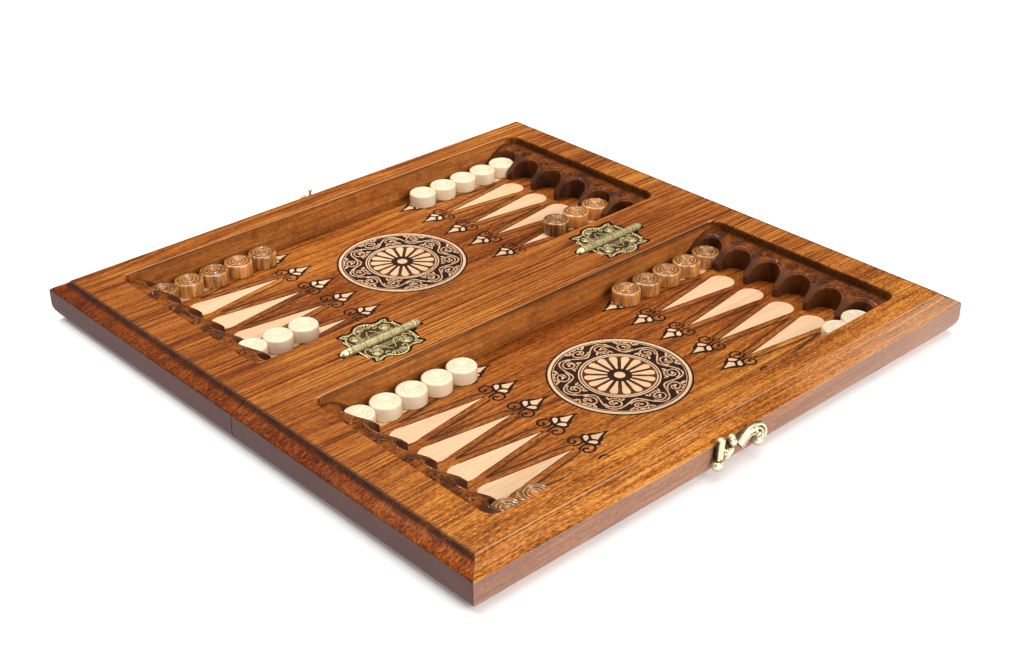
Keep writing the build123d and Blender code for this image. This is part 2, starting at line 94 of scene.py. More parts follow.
KNUCKLE_LENGTH = 11.6 * MM
POCKET_REACH = 27.5 * MM
FLOWER_REACH = 9.6 * MM

# The teardrop of each point, in millimetres from the middle of the board
TEARDROP_BASE = 166.0
TEARDROP_RADIUS = 10.6
TEARDROP_TIP = 92.0

# Tones that darken or lighten the stain, several of them painted shade and painted highlights
PATCH_AND_SHADE_TONE = (0.66, 0.52, 0.46)
PAINTED_SHADE_TONE = (0.74, 0.66, 0.62)
END_TONE_AND_SHADE = (0.54, 0.34, 0.20)
LEDGE_TONE_AND_SHADE = (0.56, 0.46, 0.40)
PAINTED_COVE_HIGHLIGHT = (0.90, 0.62, 0.40)
ARRIS_HIGHLIGHT_AND_WEAR = (0.74, 0.50, 0.32)
WALL_WOOD = (0.66, 0.25, 0.07)
WALL_EDGE = (0.64, 0.38, 0.19)


# Shader sums


class Value:
    """A shader socket that takes part in sums, each of which adds a Math node."""

    def __init__(self, recipe, socket):
        self.recipe = recipe
        self.socket = socket

    def maths(self, operation, *others, clamp=False):
        settings = {"operation": operation, "use_clamp": clamp}
        return self.recipe.add("Math", settings, dict(enumerate((self, *others))))

    def __add__(self, other):
        return self.maths("ADD", other)

    def __sub__(self, other):
        return self.maths("SUBTRACT", other)

    def __mul__(self, other):
        return self.maths("MULTIPLY", other)

    def __truediv__(self, other):
        return self.maths("DIVIDE", other)

    def __rsub__(self, other):
        return self.recipe.add("Math", {"operation": "SUBTRACT"}, {0: other, 1: self})

    def __rtruediv__(self, other):
        return self.recipe.add("Math", {"operation": "DIVIDE"}, {0: other, 1: self})

    __radd__ = __add__
    __rmul__ = __mul__

    def __abs__(self):
        return self.maths("ABSOLUTE")

    def step(self, low, high):
        """0 below low, 1 above high and smooth between; low may be the larger."""
        settings = {"interpolation_type": "SMOOTHSTEP"}
        return self.recipe.add("MapRange", settings, {"Value": self, "From Min": low, "From Max": high})

    def clamp(self):
        return self.maths("ADD", 0.0, clamp=True)


class Recipe:
    """A material under construction, with one method that adds its nodes."""

    def __init__(self, name):
        self.material = bpy.data.materials.new(name)
        self.material.use_nodes = True
        self.tree = self.material.node_tree
        self.tree.nodes.clear()
        self.place = self.add("TexCoord", output="Object")
        self.x = self.add("SeparateXYZ", sockets={0: self.place}, output=0)
        self.y = self.part_of(self.x, 1)
        self.z = self.part_of(self.x, 2)
        self.base = (1.0, 1.0, 1.0)

    def part_of(self, value, output):
        """Another output of the node that a value comes from."""
        return Value(self, value.socket.node.outputs[output])

    def add(self, kind, settings=None, sockets=None, output=0):
        """Adds a node, sets it, feeds its sockets and returns one output."""
        node = self.tree.nodes.new("ShaderNode" + kind)
        for name, setting in (settings or {}).items():
            if name == "stops":
                self.set_stops(node.color_ramp, setting)
            else:
                setattr(node, name, setting)
        for name, given in (sockets or {}).items():
            if isinstance(given, Value):
                self.tree.links.new(given.socket, node.inputs[name])
            else:
                node.inputs[name].default_value = given
        return Value(self, node.outputs[output]) if node.outputs else node

    def set_stops(self, ramp, stops):
        """Gives a colour ramp its stops, as (place, colour) pairs."""
        while len(ramp.elements) < len(stops):
            ramp.elements.new(1.0)
        for element, (place, colour) in zip(ramp.elements, stops):
            element.position = place
            element.color = (*colour, 1.0)

    def combine(self, x, y, z):
        return self.add("CombineXYZ", sockets={0: x, 1: y, 2: z})

    def stretched(self, along, across, up=None):
        """Object coordinates scaled apart, so that noise runs with the grain."""
        return self.combine(self.x * along, self.y * across, self.z * (across if up is None else up))

    def bent(self, along, across, drift, sway):
        """Object coordinates stretched along X, which wander sideways with a drift."""
        return self.combine(
            self.x * along, self.y * across + drift * sway, self.z * across + drift * sway * 0.6
        )

    def depth(self):
        """Millimetres below the rim."""
        return (RIM_HEIGHT - self.z) / MM

    def noise(self, vector, scale=1.0, detail=3.0, roughness=0.55):
        sockets = {"Vector": vector, "Scale": scale, "Detail": detail, "Roughness": roughness}
        return self.add("TexNoise", sockets=sockets)

    def ramp(self, value, *stops):
        return self.add("ValToRGB", {"stops": stops}, {0: value})

    def mix(self, factor, first, second, blend="MIX"):
        """A colour between two colours."""
        settings = {"data_type": "RGBA", "blend_type": blend}
        colours = {6: self.colour(first), 7: self.colour(second)}
        return self.add("Mix", settings, {0: factor, **colours}, output=2)

    def paint(self, factor, tone, blend="MIX"):
        """Lays a tone over the base colour, as far as the factor says."""
        self.base = self.mix(factor, self.base, tone, blend)

    def tint(self, factor, tone):
        """Multiplies the base colour by a tone, as far as the factor says."""
        self.paint(factor, tone, "MULTIPLY")

    def colour(self, given):
        return given if isinstance(given, Value) else (*given, 1.0)[:4]

    def bump(self, height, distance, strength=0.5):
        return self.add("Bump", sockets={"Height": height, "Distance": distance, "Strength": strength})

    def finish(
        self, roughness, normal=None, metallic=0.0,
        coat=0.0, coat_roughness=0.1, specular=0.5, glow=0.0,
    ):
        """Closes the material with its surface and returns it."""
        sockets = {
            "Base Color": self.colour(self.base),
            "Roughness": roughness,
            "Metallic": metallic,
            "Specular IOR Level": specular,
            "Coat Weight": coat,
            "Coat Roughness": coat_roughness,
            "Emission Color": (1.0, 1.0, 1.0, 1.0),
            "Emission Strength": glow,
        }
        if normal is not None:
            sockets["Normal"] = normal
        shader = self.add("BsdfPrincipled", sockets=sockets)
        self.add("OutputMaterial", sockets={"Surface": shader})
        return self.material


# Wood


def grain(recipe, scale=1.0):
    """Figure that runs along X: broad bands, dark streaks, fibres and short flecks."""
    drift = recipe.noise(recipe.stretched(4 * scale, 12 * scale), detail=2.0) - 0.5
    bands = recipe.noise(recipe.bent(2.2 * scale, 60 * scale, drift, 4), roughness=0.6)
    streaks = recipe.noise(recipe.bent(7 * scale, 560 * scale, drift, 5))
    fibres = recipe.noise(recipe.bent(26 * scale, 1250 * scale, drift, 10), detail=2.0, roughness=0.65)
    slanted = recipe.combine(
        recipe.x * 270 * scale + recipe.y * 150 * scale,
        recipe.y * 1050 * scale + drift * 30,
        recipe.z * 1050 * scale,
    )
    flecks = recipe.noise(slanted, detail=2.0, roughness=0.6)
    return bands, streaks, fibres, flecks


def stained_wood(look):
    """Varnished stained board: streaked along X, burnt towards its edges and grooves, with painted shade and
    painted highlights.
    """
    recipe = Recipe("stained_wood")
    bands, streaks, fibres, flecks = grain(recipe)
    at_top = recipe.depth().step(4.0, 1.0)
    lined = recipe.y.step(-0.22, -0.08) * (at_top * 0.65 + 0.35)
    fine = streaks * (lined * 0.14 + 0.24) + flecks * (0.32 - lined * 0.14)
    recipe.base = recipe.ramp(
        bands * 0.20 + fibres * 0.24 + fine,
        (0.405, look.stain_dark),
        (0.470, look.stain_mid),
        (0.520, look.stain),
        (0.600, look.stain_light),
    )
    # Painted shade: the top darkens towards the fold, and dark streaks gather there.
    painted_fold_shade = abs(recipe.y).step(0.085, 0.015) * at_top
    recipe.paint(streaks.step(0.45, 0.37) * (painted_fold_shade * 0.40 + 0.08), look.stain_dark)
    patchy = recipe.noise(recipe.place, scale=9.0, detail=2.0).step(0.40, 0.64)
    on_floor = recipe.z.step(FLOOR_HEIGHT + 4 * MM, FLOOR_HEIGHT + 1 * MM)
    # Random darker patches, with painted shade near the fold and on the floors towards the fold.
    shade = patchy * 0.6 + painted_fold_shade * 0.25 + on_floor * abs(recipe.y).step(0.230, 0.060) * 0.5
    recipe.tint(shade.clamp(), PATCH_AND_SHADE_TONE)
    # Painted shade: all but the front rail is darkened, the back half most, as if lit from the front.
    painted_shade = recipe.y.step(-0.230, -0.140) * 0.70 + recipe.y.step(0.0, 0.12) * 0.30
    recipe.tint(painted_shade, PAINTED_SHADE_TONE)

    blotch = recipe.noise(recipe.place, scale=70.0)
    end_mould = rim_marks(recipe, look, blotch)
    recess_marks(recipe, look, blotch)
    cut = point_grooves(recipe)
    recipe.paint(cut * (0.25 + fibres * 0.40), look.burn)
    underside_squares(recipe, look)

    varnish = recipe.noise(recipe.place, scale=60.0, detail=2.0)
    normal = recipe.bump(fibres * 0.3 + streaks * 0.2 + flecks * 0.5 - cut * 3.0, 0.22 * MM)
    rough = 0.27 + varnish * 0.14 + flecks * 0.06 + end_mould * 0.35
    return recipe.finish(rough, normal, coat=0.02, coat_roughness=0.14, specular=0.11)


def rim_marks(recipe, look, blotch):
    """End moulding darkened in tone and in painted shade, with burnt top and lower lines strongest at the
    ends; painted highlight and wear on the arrises; a painted highlight on the long coves; dull flanks,
    greyer partly as painted reflection and shade. Also says where the end moulding is.
    """
    depth = recipe.depth()
    from_end = abs(recipe.x) - HALF_LENGTH
    from_side = abs(recipe.y) - HALF_WIDTH
    edge = from_end.maths("MAXIMUM", from_side) / MM
    at_end = (from_end - from_side).step(-0.4 * MM, 0.4 * MM)
    on_mould = edge.step(-12.8, -11.2)
    end_mould = on_mould * at_end
    # The end mouldings are darkened, partly as darker tone and partly as painted shade.
    recipe.tint(end_mould * 0.9, END_TONE_AND_SHADE)
    # Painted highlight: the long coves lighten towards the right-hand end.
    cove_highlight = on_mould * (1 - at_end) * recipe.x.step(0.02, 0.20) * 0.22
    recipe.paint(cove_highlight, PAINTED_COVE_HIGHLIGHT)
    top_line = edge.step(-14.6, -12.6) * edge.step(-8.0, -10.8)
    recipe.paint(top_line * (at_end * 0.78 + 0.10) * (0.5 + blotch * 0.8), look.burn)
    # Painted highlight and wear: pale lines along the top and lower arrises, weaker on the ends.
    low_arris_highlight = depth.step(8.7, 8.5) * edge.step(-1.6, -0.6) * depth.step(8.1, 8.3)
    arris_highlight = edge.step(-12.85, -12.70) * edge.step(-12.35, -12.50) + low_arris_highlight
    highlight_and_wear = (blotch * 0.9 + 0.1) * (0.75 - at_end * 0.55)
    recipe.paint(arris_highlight.clamp() * highlight_and_wear, ARRIS_HIGHLIGHT_AND_WEAR)
    low_line = depth.step(7.0, 8.2) * edge.step(-3.0, -1.0)
    recipe.paint(low_line * (at_end * 0.45 + 0.1), look.burn)
    # The flanks are painted duller and greyer than the stain, partly as painted reflection, and the ends
    # darker still as painted shade.
    flank = depth.step(8.0, 8.8) * edge.step(-16.0, -0.5)
    recipe.paint(flank * 0.60, recipe.mix(at_end, look.flank, look.flank_end))
    return end_mould


def recess_marks(recipe, look, blotch):
    """Burns in and round the recesses, a painted shadow round the hinge leaves, and the cleaner side walls.
    """
    depth = recipe.depth()
    from_x = (abs(recipe.x - CARVING_X) - RECESS_HALF_LENGTH) / MM
    from_y = (abs(abs(recipe.y) - RECESS_Y) - RECESS_HALF_WIDTH) / MM
    inside = from_x.maths("MAXIMUM", from_y)
    below = depth.step(0.8, 3.0)
    within = below * inside.step(3.0, 1.5)
    side_wall = from_y.step(-1.5, -0.2) * from_x.step(-4.0, -12.0) * within
    recipe.paint(side_wall * 0.24, WALL_WOOD)
    recipe.paint(side_wall * blotch.step(0.50, 0.70) * 0.35, look.stain_dark)
    burnable = 1 - side_wall * 0.85
    foot = inside.step(-9.0, 0.0) * recipe.z.step(RIM_HEIGHT - 16 * MM, FLOOR_HEIGHT + 1 * MM)
    recipe.paint(within * foot * burnable * (0.25 + blotch * 0.4), look.burn)
    lip = inside.step(-0.6, 0.8) * inside.step(4.2, 2.4) * below * burnable
    recipe.paint(lip * (0.4 + blotch) * 0.5, look.burn)
    wall_edge = depth.step(1.1, 0.6) * from_y.step(-1.2, -0.6) * from_y.step(1.2, 0.6)
    recipe.paint(wall_edge * from_x.step(0.0, -6.0) * 0.40, WALL_EDGE)
    recipe.paint(from_x.step(-2.0, 0.0) * within * 0.6, look.burn)
    corner = from_x.step(-10.0, -1.0) * from_y.step(-10.0, -1.0) * within
    recipe.paint(corner * blotch.step(0.30, 0.55) * 0.8, look.burn)
    # Painted shadow: darkens the hinge beds and the faces along the fold, just below the rim.
    painted_bed_shadow = depth.step(0.1, 0.6) * depth.step(6.0, 4.0) * abs(recipe.y).step(0.034, 0.032)
    inboard = (abs(recipe.x) - HALF_LENGTH).step(-0.02, -0.03)
    recipe.paint(painted_bed_shadow * inboard * 0.85, look.burn)


def underside_squares(recipe, look):
    """The chess field under the board: pale squares, bordered by a burnt line."""
    under = recipe.z.step(1.2 * MM, 0.9 * MM)
    reach = (abs(recipe.x) - CHESS_HALF).maths("MAXIMUM", abs(recipe.y) - CHESS_HALF) / MM
    light = recipe.z.step(CHESS_DEPTH * 0.4, CHESS_DEPTH * 0.6) * under * reach.step(0.0, -0.4)
    recipe.paint(light * 0.75, look.pale)
    border = reach.step(1.0, 1.6) * reach.step(4.2, 3.6) * under
    recipe.paint(border * 0.85, look.burn)


def point_grooves(recipe):
    """How far a place lies in one of the burnt grooves beside the points, from 0 to 1."""
    along = abs(recipe.x - CARVING_X) / MM
    turned = (abs(recipe.y) - RECESS_Y) / POINT_PITCH
    away = abs(turned.maths("FRACT") - 0.5) * (POINT_PITCH / MM)
    groove = (along - 91.6) * 0.1385 + 6.0
    reach = along.step(90.0, 92.0) * along.step(160.5, 157.5)
    on_floor = recipe.z.step(FLOOR_HEIGHT + 0.5 * MM, FLOOR_HEIGHT + 0.2 * MM)
    return abs(away - groove).step(2.2, 0.3) * reach * on_floor


def medallion_radius(recipe):
    """Millimetres from the middle of the nearer medallion."""
    away_x = recipe.x - CARVING_X
    away_y = abs(recipe.y) - RECESS_Y
    return (away_x * away_x + away_y * away_y).maths("SQRT") / MM


def sooted(recipe, soot, colour, roughness, specular):
    """Closes a burnt material, rough and bumpy with its soot."""
    recipe.base = colour
    return recipe.finish(roughness + soot * 0.2, recipe.bump(soot, 0.2 * MM), specular=specular)


def brown_line(look):
    """Brown scorch of the fine grooves beside the points."""
    recipe = Recipe("brown_line")
    soot = recipe.noise(recipe.stretched(60, 500), scale=1.5, detail=2.0)
    return sooted(recipe, soot, recipe.mix(soot.step(0.35, 0.70), look.burn, look.stain_dark), 0.40, 0.12)


def burnt_line(look):
    """Char left in the engraved lines."""
    recipe = Recipe("burnt_line")
    soot = recipe.noise(recipe.place, scale=700.0, detail=2.0)
    return sooted(recipe, soot, recipe.mix(soot.step(0.40, 0.70), look.char, look.burn), 0.55, 0.08)


def carved_ground(look):
    """Scorched ground of the medallion: black under the vine, brown between the petals."""
    recipe = Recipe("carved_ground")
    soot = recipe.noise(recipe.place, scale=500.0, detail=2.0)
    radius = medallion_radius(recipe)
    brown = recipe.mix(radius.step(8.0, 22.0), look.burn, look.scorch)
    black = recipe.mix(soot.step(0.45, 0.75), look.char, look.scorch)
    return sooted(recipe, soot, recipe.mix(radius.step(28.5, 30.0), brown, black), 0.55, 0.06)


def burnt_wood(look, name="burnt_wood", gloss=0.0):
    """Ledge wood: brown at the wall and scorched in the pockets, with a thick varnish."""
    recipe = Recipe(name)
    _, streaks, fibres, flecks = grain(recipe, 1.3)
    blotch = recipe.noise(recipe.place, scale=110.0, detail=4.0, roughness=0.65)
    figure = flecks * 0.30 + streaks * 0.25 + blotch * 0.45
    recipe.base = recipe.ramp(figure, (0.42, look.scorch), (0.50, look.stain_mid), (0.62, look.stain))
    # Darker ledges overall, and the right-hand ledges darker still as painted shade.
    recipe.tint(recipe.x.step(-0.05, 0.05) * 0.3 + 0.7, LEDGE_TONE_AND_SHADE)
    deep = recipe.depth().step(7.4, 12.0)
    recipe.paint(deep * (0.60 + blotch * 0.5), look.scorch)
    from_wall = (RECESS_HALF_LENGTH - abs(recipe.x - CARVING_X)) / MM
    recipe.paint(from_wall.step(6.0, 0.5) * 0.75, look.burn)
    cloud = recipe.noise(recipe.stretched(60, 90, 20)).step(0.46, 0.60)
    recipe.paint(cloud * 0.70, look.burn)
    normal = recipe.bump(blotch * 0.6 + fibres * 0.4, 0.9 * MM, strength=0.6)
    rough = 0.34 - gloss * 0.25 + blotch * 0.16
    return recipe.finish(rough, normal, coat=gloss, coat_roughness=0.04, specular=0.07)


def pale_wood(look, name="pale_wood", smoked=0.0):
    """Bare wood of the teardrops and medallion, cut through the stain and smoked in the vine."""
    recipe = Recipe(name)
    bands, streaks, fibres, flecks = grain(recipe, 1.2)
    figure = bands * 0.4 + fibres * 0.3 + streaks * 0.3
    recipe.base = recipe.ramp(figure, (0.40, look.pale_shade), (0.58, look.pale))
    recipe.paint(flecks.step(0.55, 0.75) * 0.12, look.stain_light)
    knots = recipe.noise(recipe.place, scale=90.0, detail=1.0).step(0.70, 0.80)
    recipe.paint(knots * 0.35, look.stain_light)
    smoke = recipe.noise(recipe.place, scale=330.0, detail=2.0).step(0.44, 0.60)
    radius = medallion_radius(recipe)
    on_vine = radius.step(30.8, 31.6) * radius.step(48.8, 48.0)
    recipe.paint(on_vine * (smoke * 0.5 + 0.04) * smoked, look.stain_mid)
    normal = recipe.bump(fibres, 0.06 * MM, strength=0.4)
    return recipe.finish(0.42 + fibres * 0.1, normal, coat=0.10, coat_roughness=0.2, specular=0.3)


def checker_wood(name, deep, mid, high, gloss, ring):
    """Turned checker wood: grain through the piece and rings left by the lathe."""
    recipe = Recipe(name)
    own = {"attribute_type": "GEOMETRY", "attribute_name": "turning"}
    turned = recipe.add("Attribute", own, output="Vector")
    across = recipe.add("SeparateXYZ", sockets={0: turned}, output=0)
    along = recipe.part_of(across, 1)
    height = recipe.part_of(across, 2)
    radius = (across * across + along * along).maths("SQRT") / MM
    fibres = recipe.combine(across * 300, along * 300, height * 30)
    bands = recipe.noise(fibres, roughness=0.6)
    fine = recipe.noise(fibres, scale=3.5, detail=2.0)
    rings = recipe.noise(recipe.combine(radius * 1.5, height * 3, 0.0), detail=1.0)
    each = recipe.noise(recipe.combine(height * 2, 0.0, 0.0), detail=0.0) - 0.5
    figure = bands * 0.55 + fine * 0.30 + rings * 0.15 + each * 0.25
    recipe.base = recipe.ramp(figure, (0.36, deep), (0.48, mid), (0.62, high))
    groove = radius.step(8.0, 9.2) * radius.step(10.45, 9.9) * 0.9
    for middle, wide, narrow in ((6.0, 1.1, 0.4), (3.3, 0.8, 0.2), (8.3, 0.7, 0.2)):
        groove = groove + abs(radius - middle).step(wide, narrow)
    recipe.paint(groove.clamp() * ring, deep)
    normal = recipe.bump(rings * 0.7 + fine * 0.3, 0.25 * MM, strength=0.3)
    return recipe.finish(0.20 + fine * 0.10, normal, coat=gloss, coat_roughness=0.04, specular=0.4)


# Metal and floor


def brass(name, bright, dark, wear, ground=None, full_light=0.8):
    """Cast brass: dark in the hollows and worn bright where it stands up, and darker on faces that look down
    or sideways as painted shade.
    """
    recipe = Recipe(name)
    cloud = recipe.noise(recipe.place, scale=420.0, detail=4.0, roughness=0.65)
    grit = recipe.noise(recipe.place, scale=1500.0, detail=2.0)
    # Painted light: faces that look up are lighter and faces that look down darker; full_light is the upward
    # tilt at which it is full.
    upwards = recipe.add("SeparateXYZ", sockets={0: recipe.add("NewGeometry", output="Normal")}, output=2)
    painted_light = upwards.step(full_light - 1.2, full_light) * 0.75 + 0.25
    tone = (cloud.step(0.36, 0.56) * (1 - wear) + wear) * painted_light
    if ground is not None:
        knuckle = abs((recipe.x / KNUCKLE_LENGTH).maths("FRACT") - 0.5).step(0.02, 0.06)
        barrel = abs(recipe.y).step(4.2 * MM, 3.0 * MM)
        tone = tone * recipe.z.step(ground, ground + 0.5 * MM)
        tone = tone * (1 - barrel * 0.45) * (1 - barrel * (1 - knuckle) * 0.6)
    normal = recipe.bump(cloud * 0.6 + grit * 0.4, 0.3 * MM)
    rough = 0.50 + cloud * 0.12 - tone * 0.30
    recipe.base = recipe.mix(tone, dark, bright)
    return recipe.finish(rough, normal, metallic=0.72, specular=0.12)


def floor_paint():
    """Matt white studio floor."""
    recipe = Recipe("studio_floor")
    fleck = recipe.noise(recipe.place, scale=4.0, detail=1.0)
    recipe.base = recipe.mix(fleck, (0.93, 0.93, 0.93), (0.95, 0.95, 0.95))
    return recipe.finish(0.6, specular=0.1, glow=0.16)


# Shapes


def piece_from(shape, name, material, body, replaced=()):
    """Makes an object of a bmesh, gives it its material and rides it on its body."""
    mesh = bpy.data.meshes.new(name)
    shape.to_mesh(mesh)
    shape.free()
    mesh.materials.clear()
    mesh.materials.append(material)
    piece = bpy.data.objects.new(name, mesh)
    bpy.context.scene.collection.objects.link(piece)
    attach(piece, body)
    if replaced:
        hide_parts(*replaced)
    return piece


def smooth_by_angle(shape, degrees):
    """Smooth faces with their sharp edges kept sharp."""
    for face in shape.faces:
        face.smooth = True
    for edge in shape.edges:
        angle = edge.calc_face_angle(None)
        edge.smooth = angle is not None and angle < math.radians(degrees)


def refined_node(node, material, body, bevel):
    """A merged, smooth copy of a solid, with its sharp edges a little rounded."""
    shape = bmesh.new()
    shape.from_mesh(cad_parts[node].data)
    bmesh.ops.remove_doubles(shape, verts=shape.verts, dist=1e-6)
    flat = math.radians(0.5)
    bmesh.ops.dissolve_limit(
        shape, angle_limit=flat, verts=shape.verts, edges=shape.edges, use_dissolve_boundaries=False
    )
    bmesh.ops.triangulate(shape, faces=[face for face in shape.faces if len(face.verts) > 4])
    smooth_by_angle(shape, 32)
    piece = piece_from(shape, f"{node}_finish", material, body, (node,))
    if bevel:
        rounding = piece.modifiers.new("edges", "BEVEL")
        rounding.width = bevel
        rounding.segments = 2
        rounding.limit_method = "ANGLE"
        rounding.angle_limit = math.radians(40)
        rounding.harden_normals = True


def line_curve(lines, dimensions, cyclic, resolution, straight=False):
    """A curve of smooth lines; a point with a third value is a sharp corner."""
    curve = bpy.data.curves.new("lines", "CURVE")
    curve.dimensions = dimensions
    curve.resolution_u = resolution
    for points in lines:
        spline = curve.splines.new("BEZIER")
        spline.bezier_points.add(len(points) - 1)
        spline.use_cyclic_u = cyclic
        for knot, (x, y, *corner) in zip(spline.bezier_points, points):
            knot.co = (x * MM, y * MM, 0.0)
            knot.handle_left_type = knot.handle_right_type = "VECTOR" if straight or corner else "AUTO"
    return curve


def shape_of(curve):
    """The bmesh of a curve, which is then removed."""
    holder = bpy.data.objects.new("lines", curve)
    bpy.context.scene.collection.objects.link(holder)
    mesh = bpy.data.meshes.new_from_object(holder)
    bpy.data.objects.remove(holder)
    bpy.data.curves.remove(curve)
    shape = bmesh.new()
    shape.from_mesh(mesh)
    bpy.data.meshes.remove(mesh)
    return shape


def slab(outlines, height, resolution=5, straight=False):
    """Filled outlines of a small height."""
    curve = line_curve(outlines, "2D", True, resolution, straight)
    curve.fill_mode = "BOTH"
    curve.extrude = height * MM / 2
    return shape_of(curve)


def bead(lines, width, height, cyclic=False, resolution=5):
    """Lines drawn as flattened beads that rise to a height."""
    curve = line_curve(lines, "3D", cyclic, resolution)
    curve.bevel_depth = width * MM / 2
    curve.bevel_resolution = 1
    curve.use_fill_caps = True
    shape = shape_of(curve)
    bmesh.ops.scale(shape, vec=(1, 1, height / (width / 2)), verts=shape.verts)
    return shape


def mirrored(points):
    """A closed outline from the half on one side of the point's centre line."""
    other = [(x, -y, *corner) for x, y, *corner in reversed(points) if y]
    return points + other


def both_ways(points):
    """A line and its mirror image across the point's centre line."""
    return [points, [(x, -y, *corner) for x, y, *corner in points]]


def arc(x, y, radius, angles):
    """Points round a centre, at angles in degrees."""
    return [(x + radius * math.cos(a), y + radius * math.sin(a)) for a in map(math.radians, angles)]


def raised(height):
    """A placement this far up."""
    return Matrix.Translation((0, 0, height * MM))


def turned(degrees):
    """A placement turned about Z."""
    return Matrix.Rotation(math.radians(degrees), 4, "Z")


def join_shapes(target, shape, place=Matrix()):
    """Adds a copy of a bmesh to another, placed by a matrix, and keeps its faces outwards."""
    mesh = bpy.data.meshes.new("part")
    shape.to_mesh(mesh)
    mesh.transform(place)
    if place.determinant() < 0:
        mesh.flip_normals()
    target.from_mesh(mesh)
    bpy.data.meshes.remove(mesh)


def add_basic(target, place, create, size=(1, 1, 1), **settings):
    """Adds a ball or a cone, scaled and then placed."""
    shape = bmesh.new()
    create(shape, **settings)
    bmesh.ops.scale(shape, vec=size, verts=shape.verts)
    join_shapes(target, shape, place)
    shape.free()


def spin_section(shape, section, steps, closed=False):
    """Spins a section once round Z; a closed one is a ring."""
    corners = [shape.verts.new((x * MM, 0, z * MM)) for x, z in section]
    ends = corners[1:] + corners[:1] if closed else corners[1:]
    edges = [shape.edges.new(pair) for pair in zip(corners, ends)]
    around = {"cent": (0, 0, 0), "axis": (0, 0, 1), "angle": math.tau}
    bmesh.ops.spin(shape, geom=corners + edges, steps=steps, use_merge=True, **around)


def medallion_place(half):
    """Placement of a drawing on the middle of a half's floor."""
    return Matrix.Translation((CARVING_X, SIDES[half] * RECESS_Y, FLOOR_HEIGHT))


def point_places(half):
    """Placements of the point ornament, drawn along +X from the middle of the board."""
    for number in POINTS:
        y = SIDES[half] * RECESS_Y + (3.5 - number) * POINT_PITCH
        for sign in ENDS.values():
            yield Matrix.Translation((CARVING_X, y, FLOOR_HEIGHT)) @ Matrix.Diagonal((sign, 1, 1, 1))


def ledge_height(reach):
    """Height of a ledge's top at this distance from the wall: level, then falling in a curve."""
    step_down, level = 7.0, 12.5
    fall = max(0.0, reach / MM - level)
    return RIM_HEIGHT - (step_down + 0.2905 * fall + 0.01497 * fall * fall) * MM


# Sizes and colours that a user would change


def colour_property(name, description, default):
    about = {"name": name, "description": description}
    return bpy.props.FloatVectorProperty(**about, subtype="COLOR", default=default)


class BoardLook(bpy.types.PropertyGroup):
    """Colours and edges of the board."""

    stain: colour_property("Stain", "Orange-brown of the varnished wood", (0.50, 0.165, 0.022))
    stain_light: colour_property("Light figure", "Lightest streaks", (0.74, 0.33, 0.066))
    stain_mid: colour_property("Mid figure", "Darker streaks", (0.29, 0.082, 0.012))
    stain_dark: colour_property("Dark figure", "Darkest streaks", (0.105, 0.030, 0.007))
    burn: colour_property("Burn", "Scorched edges and grooves", (0.030, 0.011, 0.006))
    scorch: colour_property("Scorch", "Dark brown of the ledges", (0.085, 0.027, 0.009))
    char: colour_property("Char", "Engraved lines", (0.014, 0.007, 0.007))
    pale: colour_property("Bare wood", "Teardrops and medallion", (0.74, 0.49, 0.29))
    pale_shade: colour_property("Bare wood shade", "Darker fibres of the bare wood", (0.62, 0.38, 0.205))
    # The flank colours are partly painted reflection, and the end flank is darker as painted shade.
    flank: colour_property("Flank", "Dull brown of the long sides", (0.275, 0.175, 0.145))
    flank_end: colour_property("End flank", "Grey brown of the ends", (0.15, 0.105, 0.105))
    edge_round: bpy.props.FloatProperty(
        name="Edge rounding", description="How worn the wooden edges are",
        unit="LENGTH", default=0.0005, min=0.0,
    )


class MetalLook(bpy.types.PropertyGroup):
    """Colours of the hinges and clasp."""

    hinge_bright: colour_property("Hinge brass", "Rubbed brass of the hinges", (1.0, 0.82, 0.42))
    hinge_dark: colour_property("Hinge patina", "Dark hollows of the hinges", (0.075, 0.038, 0.009))
    clasp_bright: colour_property("Clasp brass", "Pale brass of the clasp", (1.0, 0.90, 0.62))
    clasp_dark: colour_property("Clasp patina", "Dark hollows of the clasp", (0.17, 0.11, 0.038))


class CheckerLook(bpy.types.PropertyGroup):
    """Colours of the checkers."""

    light: colour_property("Light checkers", "Pale wood", (0.82, 0.675, 0.475))
    dark: colour_property("Dark checkers", "Stained wood", (0.44, 0.185, 0.048))


MATERIALS = {}


def strengths(colour, *shares):
    """A colour made weaker or stronger by each share."""
    return [tuple(part * share for part in colour) for share in shares]


